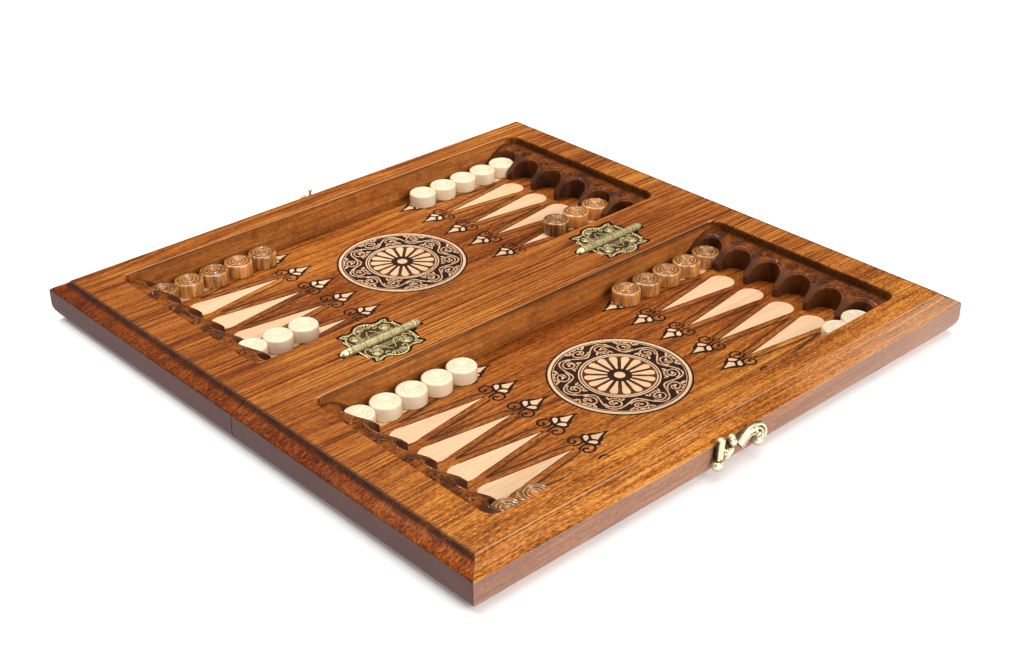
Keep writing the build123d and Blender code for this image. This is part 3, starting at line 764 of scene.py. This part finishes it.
def material(name):
    """The named material, made once from the current colours."""
    if name not in MATERIALS:
        scene = bpy.context.scene
        look, metal, checkers = scene.board_look, scene.metal_look, scene.checker_look
        light = strengths(checkers.light, 0.90, 1.0, 1.04)
        dark = strengths(checkers.dark, 0.24, 1.0, 1.8)
        hinge = (metal.hinge_bright, metal.hinge_dark)
        clasp = (metal.clasp_bright, metal.clasp_dark)
        makers = {
            "stained_wood": lambda: stained_wood(look),
            "burnt_wood": lambda: burnt_wood(look),
            "glossy_carving": lambda: burnt_wood(look, "glossy_carving", 0.9),
            "pale_wood": lambda: pale_wood(look),
            "smoked_wood": lambda: pale_wood(look, "smoked_wood", 1.0),
            "burnt_line": lambda: burnt_line(look),
            "brown_line": lambda: brown_line(look),
            "carved_ground": lambda: carved_ground(look),
            "light_checker": lambda: checker_wood("light_checker_wood", *light, gloss=0.20, ring=0.45),
            "dark_checker": lambda: checker_wood("dark_checker_wood", *dark, gloss=1.0, ring=0.8),
            "hinge_brass": lambda: brass("antique_brass", *hinge, 0.60, PLATE_TOP + 0.1 * MM),
            "finial_brass": lambda: brass("rubbed_brass", *hinge, 0.85),
            "clasp_brass": lambda: brass("bright_brass", *clasp, 0.70, full_light=0.35),
            # Dark brass of the clasp's cores and dark balls stands for painted shade and patina.
            "shade_and_patina_brass": lambda: brass("shade_and_patina_brass", metal.clasp_dark, look.burn, 0.35),
            "floor": floor_paint,
        }
        MATERIALS[name] = makers[name]()
    return MATERIALS[name]


# Operators, one for each group of pieces


class BOARD_OT_halves(bpy.types.Operator):
    """Give both boards their varnished surface and softened edges"""

    bl_idname = "board.halves"
    bl_label = "Wooden halves"

    def execute(self, context):
        edge = context.scene.board_look.edge_round
        for half in SIDES:
            body = f"{half}_half"
            refined_node(f"{half}_board", material("stained_wood"), body, edge)
            for end in ENDS:
                refined_node(f"{half}_ledge_{end}", material("burnt_wood"), body, edge)
        return {"FINISHED"}


class BOARD_OT_points(bpy.types.Operator):
    """Cut the teardrops, their grooves, scrolls and flowers into the floors"""

    bl_idname = "board.points"
    bl_label = "Carved points"

    petal = mirrored([(63.0, 0, 1), (68.6, 1.9), (72.3, 3.5, 1), (74.6, 0, 1)])
    side_petal = [
        (80.0, 1.0, 1), (79.2, 3.0), (77.8, 5.8, 1), (75.4, 6.4),
        (74.0, 4.5, 1), (75.6, 2.4), (77.9, 1.0, 1),
    ]
    flower = mirrored([
        (58.0, 0, 1), (66.4, 3.1), (71.0, 6.6, 1), (72.8, 6.6),
        (74.6, 8.4), (78.2, 8.2, 1), (80.9, 4.2), (82.4, 0.8, 1),
    ])
    bud = [(86.4, 6.2), (85.4, 7.4), (84.2, 6.9), (84.4, 5.6), (85.5, 5.1)]
    volute = [
        (90.6, 3.2), (87.6, 2.0), (84.0, 1.6), (80.9, 3.0), (79.6, 6.6), (81.5, 10.3), (85.3, 11.3),
        (88.5, 9.5), (89.3, 6.6), (87.8, 4.9), (85.7, 5.2), (85.0, 6.8),
    ]
    wedge = [(158.6, 15.2, 1), (151.0, 14.75), (143.0, 13.3, 1), (150.5, 13.7)]
    strap = [
        (90.4, 5.0), (93.5, 5.9), (97.6, 6.85), (113.5, 8.95), (135.7, 12.1), (151.0, 14.2), (158.0, 15.15),
    ]
    side_line = [(92.6, 0.5), (113.0, 3.35), (140.0, 7.25), (160.0, 10.1)]

    def execute(self, context):
        pale_drop = slab([self.teardrop()], 0.28, straight=True)
        petals = slab([self.petal, *both_ways(self.side_petal)], 0.30)
        dark_shapes = [
            slab([self.flower, *both_ways(self.bud)], 0.20),
            bead(both_ways(self.volute), 1.7, 0.26),
            slab(both_ways(self.wedge), 0.18),
        ]
        brown_shapes = [bead(both_ways(self.strap), 1.1, 0.14), bead(both_ways(self.side_line), 0.8, 0.14)]
        for half in SIDES:
            pale, dark, brown = bmesh.new(), bmesh.new(), bmesh.new()
            for place in point_places(half):
                join_shapes(pale, pale_drop, place @ raised(-0.36))
                join_shapes(pale, petals, place @ raised(0.15))
                for shape in dark_shapes:
                    join_shapes(dark, shape, place @ raised(0.02))
                for shape in brown_shapes:
                    join_shapes(brown, shape, place)
            body = f"{half}_half"
            piece_from(pale, f"{half}_point_wood", material("pale_wood"), body)
            piece_from(dark, f"{half}_point_lines", material("burnt_line"), body)
            piece_from(brown, f"{half}_point_grooves", material("brown_line"), body)
        return {"FINISHED"}

    def teardrop(self):
        """A round base with two straight flanks that meet at the tip."""
        lean = math.asin(TEARDROP_RADIUS / (TEARDROP_BASE - TEARDROP_TIP))
        along = TEARDROP_BASE - TEARDROP_RADIUS * math.sin(lean)
        across = TEARDROP_RADIUS * math.cos(lean)
        bow = arc(TEARDROP_BASE, 0.0, TEARDROP_RADIUS, range(90, -91, -15))
        return [(TEARDROP_TIP, 0.0), (along, across), *bow, (along, -across)]


class BOARD_OT_medallions(bpy.types.Operator):
    """Carve a rosette in a ring of vine into the middle of each floor"""

    bl_idname = "board.medallions"
    bl_label = "Medallions"

    ground_radius = 54.3
    hub_radius = 4.2
    ring_radii = ((52.8, 50.4), (49.4, 48.8), (30.6, 29.4), (28.5, 27.4))
    petals = 16
    petal = mirrored([(9.2, 0.65, 1), (16.0, 1.7), (22.2, 2.9), (24.6, 2.9), (25.9, 1.8), (26.3, 0)])
    waves = 7
    stem_width = 1.5
    curl_width = 1.3
    band_middle = 40.4
    band_swing = 6.4
    # Each leaf: place along the ring, way inwards, length, width and turn
    leaf_plan = (
        (0.9, 1.4, 3.6, 2.0, 20), (-1.7, 2.3, 2.6, 1.1, 100),
        (-6.4, 6.3, 5.0, 1.9, -42), (6.4, 6.3, 5.0, 1.9, 42),
        (0.0, 7.5, 4.2, 1.3, 0), (-3.6, 7.1, 3.0, 1.3, 70), (3.6, 7.1, 3.0, 1.3, -70),
    )

    def execute(self, context):
        ground = self.disc(self.ground_radius, 0.53, -0.50)
        rims = self.ring_lines()
        petal = slab([self.petal], 0.34)
        hub = self.disc(self.hub_radius, 0.34, 0.04)
        vine, leaves = self.vine()
        for half in SIDES:
            place = medallion_place(half)
            dark, pale = bmesh.new(), bmesh.new()
            join_shapes(dark, ground, place)
            join_shapes(pale, rims, place)
            join_shapes(pale, hub, place)
            for number in range(self.petals):
                join_shapes(pale, petal, place @ turned(360 * (number + 0.5) / self.petals) @ raised(0.14))
            join_shapes(pale, vine, place @ raised(0.06))
            join_shapes(pale, leaves, place @ raised(0.14))
            body = f"{half}_half"
            piece_from(dark, f"{half}_medallion_ground", material("carved_ground"), body)
            piece_from(pale, f"{half}_medallion_carving", material("smoked_wood"), body)
        return {"FINISHED"}

    def disc(self, radius, height, low):
        """A flat disc from one height up by another."""
        shape = bmesh.new()
        bmesh.ops.create_circle(shape, cap_ends=True, segments=96, radius=radius * MM)
        bmesh.ops.translate(shape, vec=(0, 0, low * MM), verts=shape.verts)
        ring = bmesh.ops.extrude_face_region(shape, geom=shape.faces[:])
        moved = [part for part in ring["geom"] if isinstance(part, bmesh.types.BMVert)]
        bmesh.ops.translate(shape, vec=(0, 0, height * MM), verts=moved)
        bmesh.ops.recalc_face_normals(shape, faces=shape.faces)
        return shape

    def ring_lines(self):
        """Flat pale rings, each between two radii, spun from a low section."""
        shape = bmesh.new()
        low, high, slope = 0.02, 0.30, 0.2
        for outer, inner in self.ring_radii:
            section = [(inner, low), (inner + slope, high), (outer - slope, high), (outer, low)]
            spin_section(shape, section, 96, closed=True)
        bmesh.ops.recalc_face_normals(shape, faces=shape.faces)
        return shape

    def vine(self):
        """A running vine: a waving stem, with a scroll and palm leaves in each wave."""
        steps = self.waves * 12
        stem = []
        for step in range(steps):
            angle = math.tau * step / steps
            radius = self.band_middle + self.band_swing * math.sin(angle * self.waves)
            stem.append((radius * math.cos(angle), radius * math.sin(angle)))
        shape = bead([stem], self.stem_width, 0.30, cyclic=True, resolution=2)
        curls, blades = [], []
        for wave in range(self.waves * 2):
            inward = 1 if wave % 2 == 0 else -1
            centre = math.tau * (wave + 0.5) / (self.waves * 2)
            curls.append(self.curl(centre, inward))
            blades.extend(self.leaves(centre, inward))
        join_shapes(shape, bead(curls, self.curl_width, 0.28, resolution=3))
        return shape, slab(blades, 0.30, resolution=3)

    def curl(self, centre, inward):
        """A spiral that leaves the stem and winds into the wave."""
        points = []
        for step in range(15):
            turn = step / 14
            reach = 7.0 * (1 - 0.60 * turn)
            angle = inward * (2.75 - turn * 7.6)
            radius = self.band_middle - inward * 1.6 + reach * 0.80 * math.sin(angle)
            points.append(self.bent(centre, radius, reach * math.cos(angle)))
        return points

    def leaves(self, centre, inward):
        """Palm leaves in the middle of the scroll and in the corners beside it."""
        blades = []
        for across, reach, length, width, turn in self.leaf_plan:
            tilt = math.radians(turn)
            blade = []
            for part in range(8):
                angle = math.tau * part / 8
                u, v = length / 2 * math.cos(angle), width / 2 * math.sin(angle)
                along = u * math.cos(tilt) - v * math.sin(tilt)
                rise = u * math.sin(tilt) + v * math.cos(tilt)
                blade.append(self.bent(centre, self.band_middle - inward * (reach + rise), across + along))
            blades.append(blade)
        return blades

    def bent(self, centre, radius, across):
        """A place in the ring, from an angle, a radius and a distance along the ring."""
        angle = centre + across / self.band_middle
        return radius * math.cos(angle), radius * math.sin(angle)


class BOARD_OT_ledge_carving(bpy.types.Operator):
    """Carve a flower beside each pocket and a brow behind it"""

    bl_idname = "board.ledge_carving"
    bl_label = "Ledge carving"

    petal = [(0.5, 0), (1.7, 1.0), (3.4, 1.1), (4.3, 0), (3.4, -1.1), (1.7, -1.0)]
    brow_radius = 15.2
    brow_width = 1.7
    boss_radius = 1.1 * MM
    soot_radius = 4.4 * MM

    def execute(self, context):
        bow = arc(0.0, 0.0, self.brow_radius, range(-44, 45, 11))
        brow = bead([bow], self.brow_width, 1.0, resolution=3)
        petal = slab([self.petal], 1.1)
        for half, side in SIDES.items():
            for end, sign in ENDS.items():
                carving, soot = bmesh.new(), bmesh.new()
                wall = CARVING_X + sign * RECESS_HALF_LENGTH
                for number in range(1, 8):
                    y = side * RECESS_Y + (4.0 - number) * POINT_PITCH
                    size = 0.6 if number in (1, 7) else 1.0
                    place = Matrix.Translation((wall - sign * FLOWER_REACH, y, ledge_height(FLOWER_REACH)))
                    self.add_flower(carving, soot, petal, place, size)
                for number in POINTS:
                    y = side * RECESS_Y + (3.5 - number) * POINT_PITCH
                    place = Matrix.Translation((wall - sign * POCKET_REACH, y, 0))
                    self.drape(carving, brow, place @ Matrix.Diagonal((sign, 1, 1, 1)), wall)
                name = f"{half}_ledge_{end}"
                body = f"{half}_half"
                piece_from(carving, f"{name}_carving", material("glossy_carving"), body)
                piece_from(soot, f"{name}_soot", material("brown_line"), body)
        return {"FINISHED"}

    def add_flower(self, carving, soot, petal, place, size):
        """Four petals round a boss, on a disc of soot."""
        for number in range(4):
            join_shapes(carving, petal, place @ turned(90 * (number + 0.5)) @ Matrix.Scale(size, 4))
        boss = self.boss_radius * size
        add_basic(carving, place, bmesh.ops.create_icosphere, subdivisions=2, radius=boss)
        low = self.soot_radius * size
        add_basic(
            soot, place, bmesh.ops.create_cone,
            cap_ends=True, segments=24, radius1=low, radius2=low * 0.9, depth=0.2 * MM,
        )

    def drape(self, carving, shape, place, wall):
        """Adds a flat shape, laid on the falling top of the ledge."""
        before = len(carving.verts)
        join_shapes(carving, shape, place)
        carving.verts.ensure_lookup_table()
        for vert in carving.verts[before:]:
            vert.co.z += ledge_height(abs(wall - vert.co.x)) - 0.2 * MM


class BOARD_OT_checkers(bpy.types.Operator):
    """Turn the light and dark checkers"""

    bl_idname = "board.checkers"
    bl_label = "Checkers"

    shoulder = 1.9
    foot = 0.9
    # Each turned ring: middle and half width as shares of the radius, and depth
    rings = ((0.71, 0.045, 0.5), (0.52, 0.075, 0.9), (0.30, 0.05, 0.6))

    def execute(self, context):
        dice = random.Random(7)
        for node in sorted(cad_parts):
            if node.startswith("checker_"):
                self.turn_one(node, node.split("_")[1], dice)
        return {"FINISHED"}

    def turn_one(self, node, colour, dice):
        low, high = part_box(node)
        centre = (low + high) / 2
        shape = bmesh.new()
        spin_section(shape, self.section((high.x - low.x) / 2 / MM, (high.z - low.z) / MM), 48)
        bmesh.ops.remove_doubles(shape, verts=shape.verts, dist=1e-6)
        bmesh.ops.recalc_face_normals(shape, faces=shape.faces)
        smooth_by_angle(shape, 50)
        offset = dice.random() * 10
        layer = shape.verts.layers.float_vector.new("turning")
        for vert in shape.verts:
            vert[layer] = (vert.co.x, vert.co.y, vert.co.z + offset)
        turn = Matrix.Rotation(dice.random() * math.tau, 3, "Z")
        bmesh.ops.rotate(shape, verts=shape.verts, cent=(0, 0, 0), matrix=turn)
        bmesh.ops.translate(shape, verts=shape.verts, vec=(centre.x, centre.y, low.z))
        finish = f"{colour}_checker"
        piece_from(shape, f"{node}_turned", material(finish), node, (node,))

    def section(self, radius, height):
        """Half section of a checker: foot, side, rounded shoulder, rings and button."""
        foot = arc(radius - self.foot, self.foot, self.foot, range(-90, 1, 30))
        top = height - self.shoulder
        shoulder = arc(radius - self.shoulder, top, self.shoulder, range(0, 91, 18))
        hollows = []
        for middle, half, depth in self.rings:
            for part in range(-4, 5):
                bend = math.cos(part / 4 * math.pi / 2)
                hollows.append((radius * (middle - half * part / 4), height - depth * bend ** 1.5))
        button = [(radius * 0.12, height - 0.2), (0.0, height - 0.4)]
        return [(0.0, 0.0), *foot, *shoulder, *hollows, *button]


class BOARD_OT_hinges(bpy.types.Operator):
    """Cast the ornate hinges with their relief, pins and screws"""

    bl_idname = "board.hinges"
    bl_label = "Hinges"

    scrolls = (
        ((1.4, 19.0), (4.6, 21.0), (8.2, 20.6), (9.6, 18.2), (8.0, 16.2), (6.0, 17.0), (6.4, 18.6)),
        ((1.0, 15.6), (3.4, 12.6), (4.8, 8.4), (8.0, 5.0), (11.6, 5.6), (11.8, 8.2), (9.6, 8.8), (8.8, 7.4)),
        ((18.6, 18.6), (20.9, 14.0), (20.6, 8.4), (18.2, 4.8), (15.2, 5.4), (15.2, 7.8), (17.2, 8.0)),
        ((11.0, 20.8), (14.2, 20.0), (17.4, 20.6), (18.6, 18.8), (16.8, 17.6)),
        ((10.6, 9.8), (9.4, 12.8), (10.6, 16.0)),
    )
    scroll_width = 1.4
    boss_place = (14.0, 13.0)
    boss_radius = 3.5
    shell_height = 17.0
    lattice_pitch = 2.3

    def execute(self, context):
        relief = self.relief()
        cast_brass = material("hinge_brass")
        for name in ENDS:
            low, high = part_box(f"hinge_{name}_pin")
            for half, side in SIDES.items():
                body = f"{half}_half"
                refined_node(f"hinge_{name}_{half}_leaf", cast_brass, body, 0.2 * MM)
                cast = bmesh.new()
                place = Matrix.Translation(((low.x + high.x) / 2, 0, PLATE_TOP))
                join_shapes(cast, relief, place @ Matrix.Diagonal((1, side, 1, 1)))
                smooth_by_angle(cast, 50)
                piece_from(cast, f"hinge_{name}_{half}_relief", cast_brass, body)
            pin = f"hinge_{name}_pin"
            refined_node(pin, material("finial_brass"), "front_half", 0.2 * MM)
        for half in SIDES:
            node = f"{half}_hinge_screws"
            refined_node(node, material("finial_brass"), f"{half}_half", 0.1 * MM)
        return {"FINISHED"}

    def relief(self):
        """Scrolls, screw bosses, a shell, a lattice and beads, which stand up from a leaf."""
        lines = [[(sign * x, y) for x, y in line] for line in self.scrolls for sign in (1, -1)]
        shape = bead(lines, self.scroll_width, 0.9, resolution=4)
        middle, up = self.boss_place
        bosses = [arc(sign * middle, up, self.boss_radius, range(0, 360, 36)) for sign in (1, -1)]
        join_shapes(shape, bead(bosses, 1.1, 0.9, cyclic=True, resolution=4))
        inner, outer = (arc(0.0, self.shell_height, radius, range(150, 29, -20)) for radius in (3.0, 8.6))
        ribs = zip(inner, outer)
        join_shapes(shape, bead(ribs, self.scroll_width, 0.9, resolution=2))
        join_shapes(shape, bead(self.lattice(), 0.6, 0.4, resolution=1), raised(0.1))
        beads = arc(0.0, self.shell_height, 9.3, range(160, 19, -14))
        for y in (3.0, 5.4, 7.8, 10.2, 12.6, 15.0):
            beads += [(sign * (23.0 - abs(y - 8.5) * 0.05), y) for sign in (1, -1)]
        for x, y in beads:
            place = Matrix.Translation((x * MM, y * MM, 0))
            add_basic(
                shape, place, bmesh.ops.create_icosphere, size=(1, 1, 0.8), subdivisions=2, radius=1.05 * MM
            )
        return shape

    def lattice(self):
        """Crossing lines beside the barrel, ended by a soft arch."""
        lines = []
        for step in range(-16, 17):
            for slant in (1, -1):
                start = step * self.lattice_pitch
                line = [(start + slant * (y - 12.0), y) for y in (4.6 + part * 0.8 for part in range(20))]
                line = [(x, y) for x, y in line if (abs(x) / 18.0) ** 3 + (y / 11.5) ** 3 < 1]
                if len(line) > 1:
                    lines.append([line[0], line[-1]])
        return lines


class BOARD_OT_clasp(bpy.types.Operator):
    """Cast the clasp with its post, its grooved hook and the catch"""

    bl_idname = "board.clasp"
    bl_label = "Clasp and catch"

    def execute(self, context):
        kept = {
            "clasp_pivot": "front_half",
            "clasp_screw": "front_half",
            "catch_plate": "back_half",
            "catch_screws": "back_half",
        }
        for node, body in kept.items():
            refined_node(node, material("clasp_brass"), body, 0.3 * MM)
        self.cast("clasp_post", "front_half", self.post, ("clasp_plate",))
        self.cast("clasp_strap", "clasp_hook", self.strap, ("clasp_hook",))
        return {"FINISHED"}

    def cast(self, name, body, draw, replaced):
        """Makes a bright piece and a dark piece of what is drawn on the face of the rail: painted highlight
        and wear, and painted shade and patina.
        """
        upright = Matrix(((1, 0, 0, 0), (0, 0, -1, FRONT_FACE), (0, 1, 0, RIM_HEIGHT), (0, 0, 0, 1)))
        shapes = {"highlight_and_wear": bmesh.new(), "dark": bmesh.new()}
        draw(shapes)
        for finish, drawn in shapes.items():
            shape = bmesh.new()
            join_shapes(shape, drawn, upright)
            drawn.free()
            smooth_by_angle(shape, 50)
            brass_name = "clasp_brass" if finish == "highlight_and_wear" else "shade_and_patina_brass"
            piece_from(shape, f"{name}_{finish}", material(brass_name), body, replaced)

    def add_band(self, shapes, line, half_width, half_thickness, out, ridges=()):
        """A strap along a line in the plane of the face: a dark core of painted shade and patina, with
        bright ridges of painted highlight and wear.
        """
        core = bead([line], 2 * half_width, half_thickness, resolution=6)
        join_shapes(shapes["dark"], core, raised(out))
        for share, width in ridges:
            rise = half_thickness * math.sqrt(1 - share * share)
            ridge = bead([self.beside(line, share * half_width)], width, 1.0, resolution=6)
            join_shapes(shapes["highlight_and_wear"], ridge, raised(out + rise * 0.85))

    def beside(self, line, shift):
        """The same line moved sideways."""
        moved = []
        for number, (x, y) in enumerate(line):
            ahead = Vector(line[min(number + 1, len(line) - 1)]) - Vector(line[max(number - 1, 0)])
            normal = Vector((-ahead.y, ahead.x)).normalized() * shift
            moved.append((x + normal.x, y + normal.y))
        return moved

    def add_ball(self, shape, place, size, turn=0):
        """A stretched ball."""
        placed = Matrix.Translation(Vector(place) * MM) @ turned(turn)
        settings = {"u_segments": 24, "v_segments": 16, "radius": 1.0}
        add_basic(shape, placed, bmesh.ops.create_uvsphere, Vector(size) * MM, **settings)

    def post(self, shapes):
        """Back plate, upright post that ends in a ball, and the knob and leaf beside it."""
        highlight_and_wear, dark = shapes["highlight_and_wear"], shapes["dark"]
        self.add_band(shapes, [(-38.0, -14.0), (-27.0, -14.4), (-17.0, -14.0)], 4.2, 0.9, 0.8)
        line = [(-35.2, -3.0), (-35.9, -6.4), (-36.2, -10.5), (-36.6, -17.4)]
        self.add_band(shapes, line, 2.8, 2.3, 3.8, ((-0.6, 1.7), (0.12, 2.1), (0.80, 1.3)))
        self.add_ball(highlight_and_wear, (-35.3, -3.2, 3.8), (2.7, 1.8, 2.4))
        self.add_ball(dark, (-37.0, -17.9, 4.0), (3.4, 1.1, 3.0))
        self.add_ball(highlight_and_wear, (-37.8, -21.9, 4.1), (4.4, 4.1, 3.8))
        self.add_ball(highlight_and_wear, (-24.6, -5.4, 4.2), (2.5, 2.4, 2.4))
        self.add_ball(highlight_and_wear, (-22.2, -10.4, 3.6), (3.0, 4.0, 2.6), 30)
        self.add_ball(highlight_and_wear, (-25.4, -17.8, 3.4), (5.6, 2.4, 2.3), 34)
        self.add_ball(dark, (-31.6, -14.8, 2.0), (4.0, 2.4, 1.6))

    def strap(self, shapes):
        """Arched strap of the hook, its curl round the mouth and its ball."""
        highlight_and_wear = shapes["highlight_and_wear"]
        self.add_band(shapes, [(-30.0, -14.5), (-24.0, -14.2), (-17.0, -13.8)], 1.9, 1.2, 1.6)
        self.add_ball(shapes["dark"], (-30.0, -14.5, 1.5), (3.6, 3.6, 1.2))
        arch = [(-17.0, -14.6), (-13.8, -12.0), (-10.4, -9.6), (-6.8, -8.0), (-3.6, -7.7), (-0.6, -9.2)]
        self.add_band(shapes, arch, 4.6, 2.4, 4.3, ((-0.88, 0.9), (-0.60, 1.0), (0.02, 3.9), (0.74, 2.4)))
        curl = [(-3.6, -6.4), (1.2, -6.6), (5.6, -9.6), (7.9, -14.0), (7.5, -18.2)]
        self.add_band(shapes, curl, 2.6, 2.1, 4.5, ((-0.6, 1.8), (0.45, 2.3)))
        self.add_ball(highlight_and_wear, (3.2, -14.4, 4.4), (2.9, 1.5, 2.4), 20)
        self.add_ball(highlight_and_wear, (3.6, -20.2, 4.2), (3.9, 3.8, 3.5))
        self.add_ball(highlight_and_wear, (11.4, -17.4, 4.2), (1.3, 1.5, 1.3))


class BOARD_OT_stage(bpy.types.Operator):
    """Lay the floor, light it softly and set the camera"""

    bl_idname = "board.stage"
    bl_label = "Studio"

    focal_length = 56.43
    camera_place = (-0.73418, -0.81077, 0.58222)
    camera_right = (0.73419, -0.67893, -0.00454)
    camera_up = (0.33960, 0.36143, 0.86836)
    camera_ahead = (0.58791, 0.63908, -0.49592)

    def execute(self, context):
        self.lay_floor()
        self.set_world(context.scene)
        self.hang("overhead", "SUN", (0.05, 0.10, 1.0), 2.2, angle=math.radians(60))
        self.hang("front", "SUN", (0.06, -0.85, 0.52), 2.3, angle=math.radians(40))
        self.hang("glint_left", "AREA", (-0.75, 0.85, 1.25), 6.0, shape="SQUARE", size=0.20)
        self.hang("glint_right", "AREA", (0.30, 0.75, 1.45), 5.0, shape="SQUARE", size=0.16)
        self.set_camera(context.scene)
        context.scene.view_settings.view_transform = "Standard"
        return {"FINISHED"}

    def lay_floor(self):
        shape = bmesh.new()
        bmesh.ops.create_grid(shape, x_segments=8, y_segments=8, size=12.0)
        bmesh.ops.translate(shape, verts=shape.verts, vec=(0, 0, packed_box[0][2] - 0.2 * MM))
        mesh = bpy.data.meshes.new("studio_floor")
        shape.to_mesh(mesh)
        shape.free()
        floor = bpy.data.objects.new("studio_floor", mesh)
        mesh.materials.append(material("floor"))
        bpy.context.scene.collection.objects.link(floor)

    def set_world(self, scene):
        scene.world = bpy.data.worlds.new("studio")
        scene.world.use_nodes = True
        background = scene.world.node_tree.nodes["Background"]
        background.inputs["Color"].default_value = (1.0, 1.0, 1.0, 1.0)
        background.inputs["Strength"].default_value = 0.17

    def hang(self, name, kind, place, energy, **settings):
        """Hangs a light that shines from its place on the middle of the board."""
        light = bpy.data.lights.new(name, kind)
        light.energy = energy
        for setting, given in settings.items():
            setattr(light, setting, given)
        lamp = bpy.data.objects.new(name, light)
        lamp.location = place
        lamp.rotation_euler = Vector(place).to_track_quat("Z", "Y").to_euler()
        bpy.context.scene.collection.objects.link(lamp)

    def set_camera(self, scene):
        lens = bpy.data.cameras.new("camera")
        lens.sensor_width = 36.0
        lens.lens = self.focal_length
        lens.clip_start = 0.01
        camera = bpy.data.objects.new("camera", lens)
        axes = Matrix((self.camera_right, self.camera_up, -Vector(self.camera_ahead)))
        x, y, above_rim = self.camera_place
        place = Matrix.Translation((x, y, above_rim + RIM_HEIGHT))
        camera.matrix_world = place @ axes.transposed().to_4x4()
        scene.collection.objects.link(camera)
        scene.camera = camera


class BOARD_PT_panel(bpy.types.Panel):
    """Colours and pieces of the game board"""

    bl_idname = "BOARD_PT_panel"
    bl_label = "Game board"
    bl_space_type = "VIEW_3D"
    bl_region_type = "UI"
    bl_category = "Game board"

    def draw(self, context):
        scene = context.scene
        for group in (scene.board_look, scene.metal_look, scene.checker_look):
            for name in group.bl_rna.properties.keys():
                if name not in {"rna_type", "name"}:
                    self.layout.prop(group, name)
        for operator in OPERATORS:
            self.layout.operator(operator.bl_idname)


LOOKS = (BoardLook, MetalLook, CheckerLook)
OPERATORS = (
    BOARD_OT_stage,
    BOARD_OT_halves,
    BOARD_OT_points,
    BOARD_OT_medallions,
    BOARD_OT_ledge_carving,
    BOARD_OT_checkers,
    BOARD_OT_hinges,
    BOARD_OT_clasp,
)


def register():
    for item in (*LOOKS, *OPERATORS, BOARD_PT_panel):
        bpy.utils.register_class(item)
    bpy.types.Scene.board_look = bpy.props.PointerProperty(type=BoardLook)
    bpy.types.Scene.metal_look = bpy.props.PointerProperty(type=MetalLook)
    bpy.types.Scene.checker_look = bpy.props.PointerProperty(type=CheckerLook)


def unregister():
    del bpy.types.Scene.checker_look
    del bpy.types.Scene.metal_look
    del bpy.types.Scene.board_look
    for item in reversed((*LOOKS, *OPERATORS, BOARD_PT_panel)):
        bpy.utils.unregister_class(item)


def main():
    register()
    bpy.ops.board.stage()
    bpy.ops.board.halves()
    bpy.ops.board.points()
    bpy.ops.board.medallions()
    bpy.ops.board.ledge_carving()
    bpy.ops.board.checkers()
    bpy.ops.board.hinges()
    bpy.ops.board.clasp()


if __name__ == "__main__":
    main()
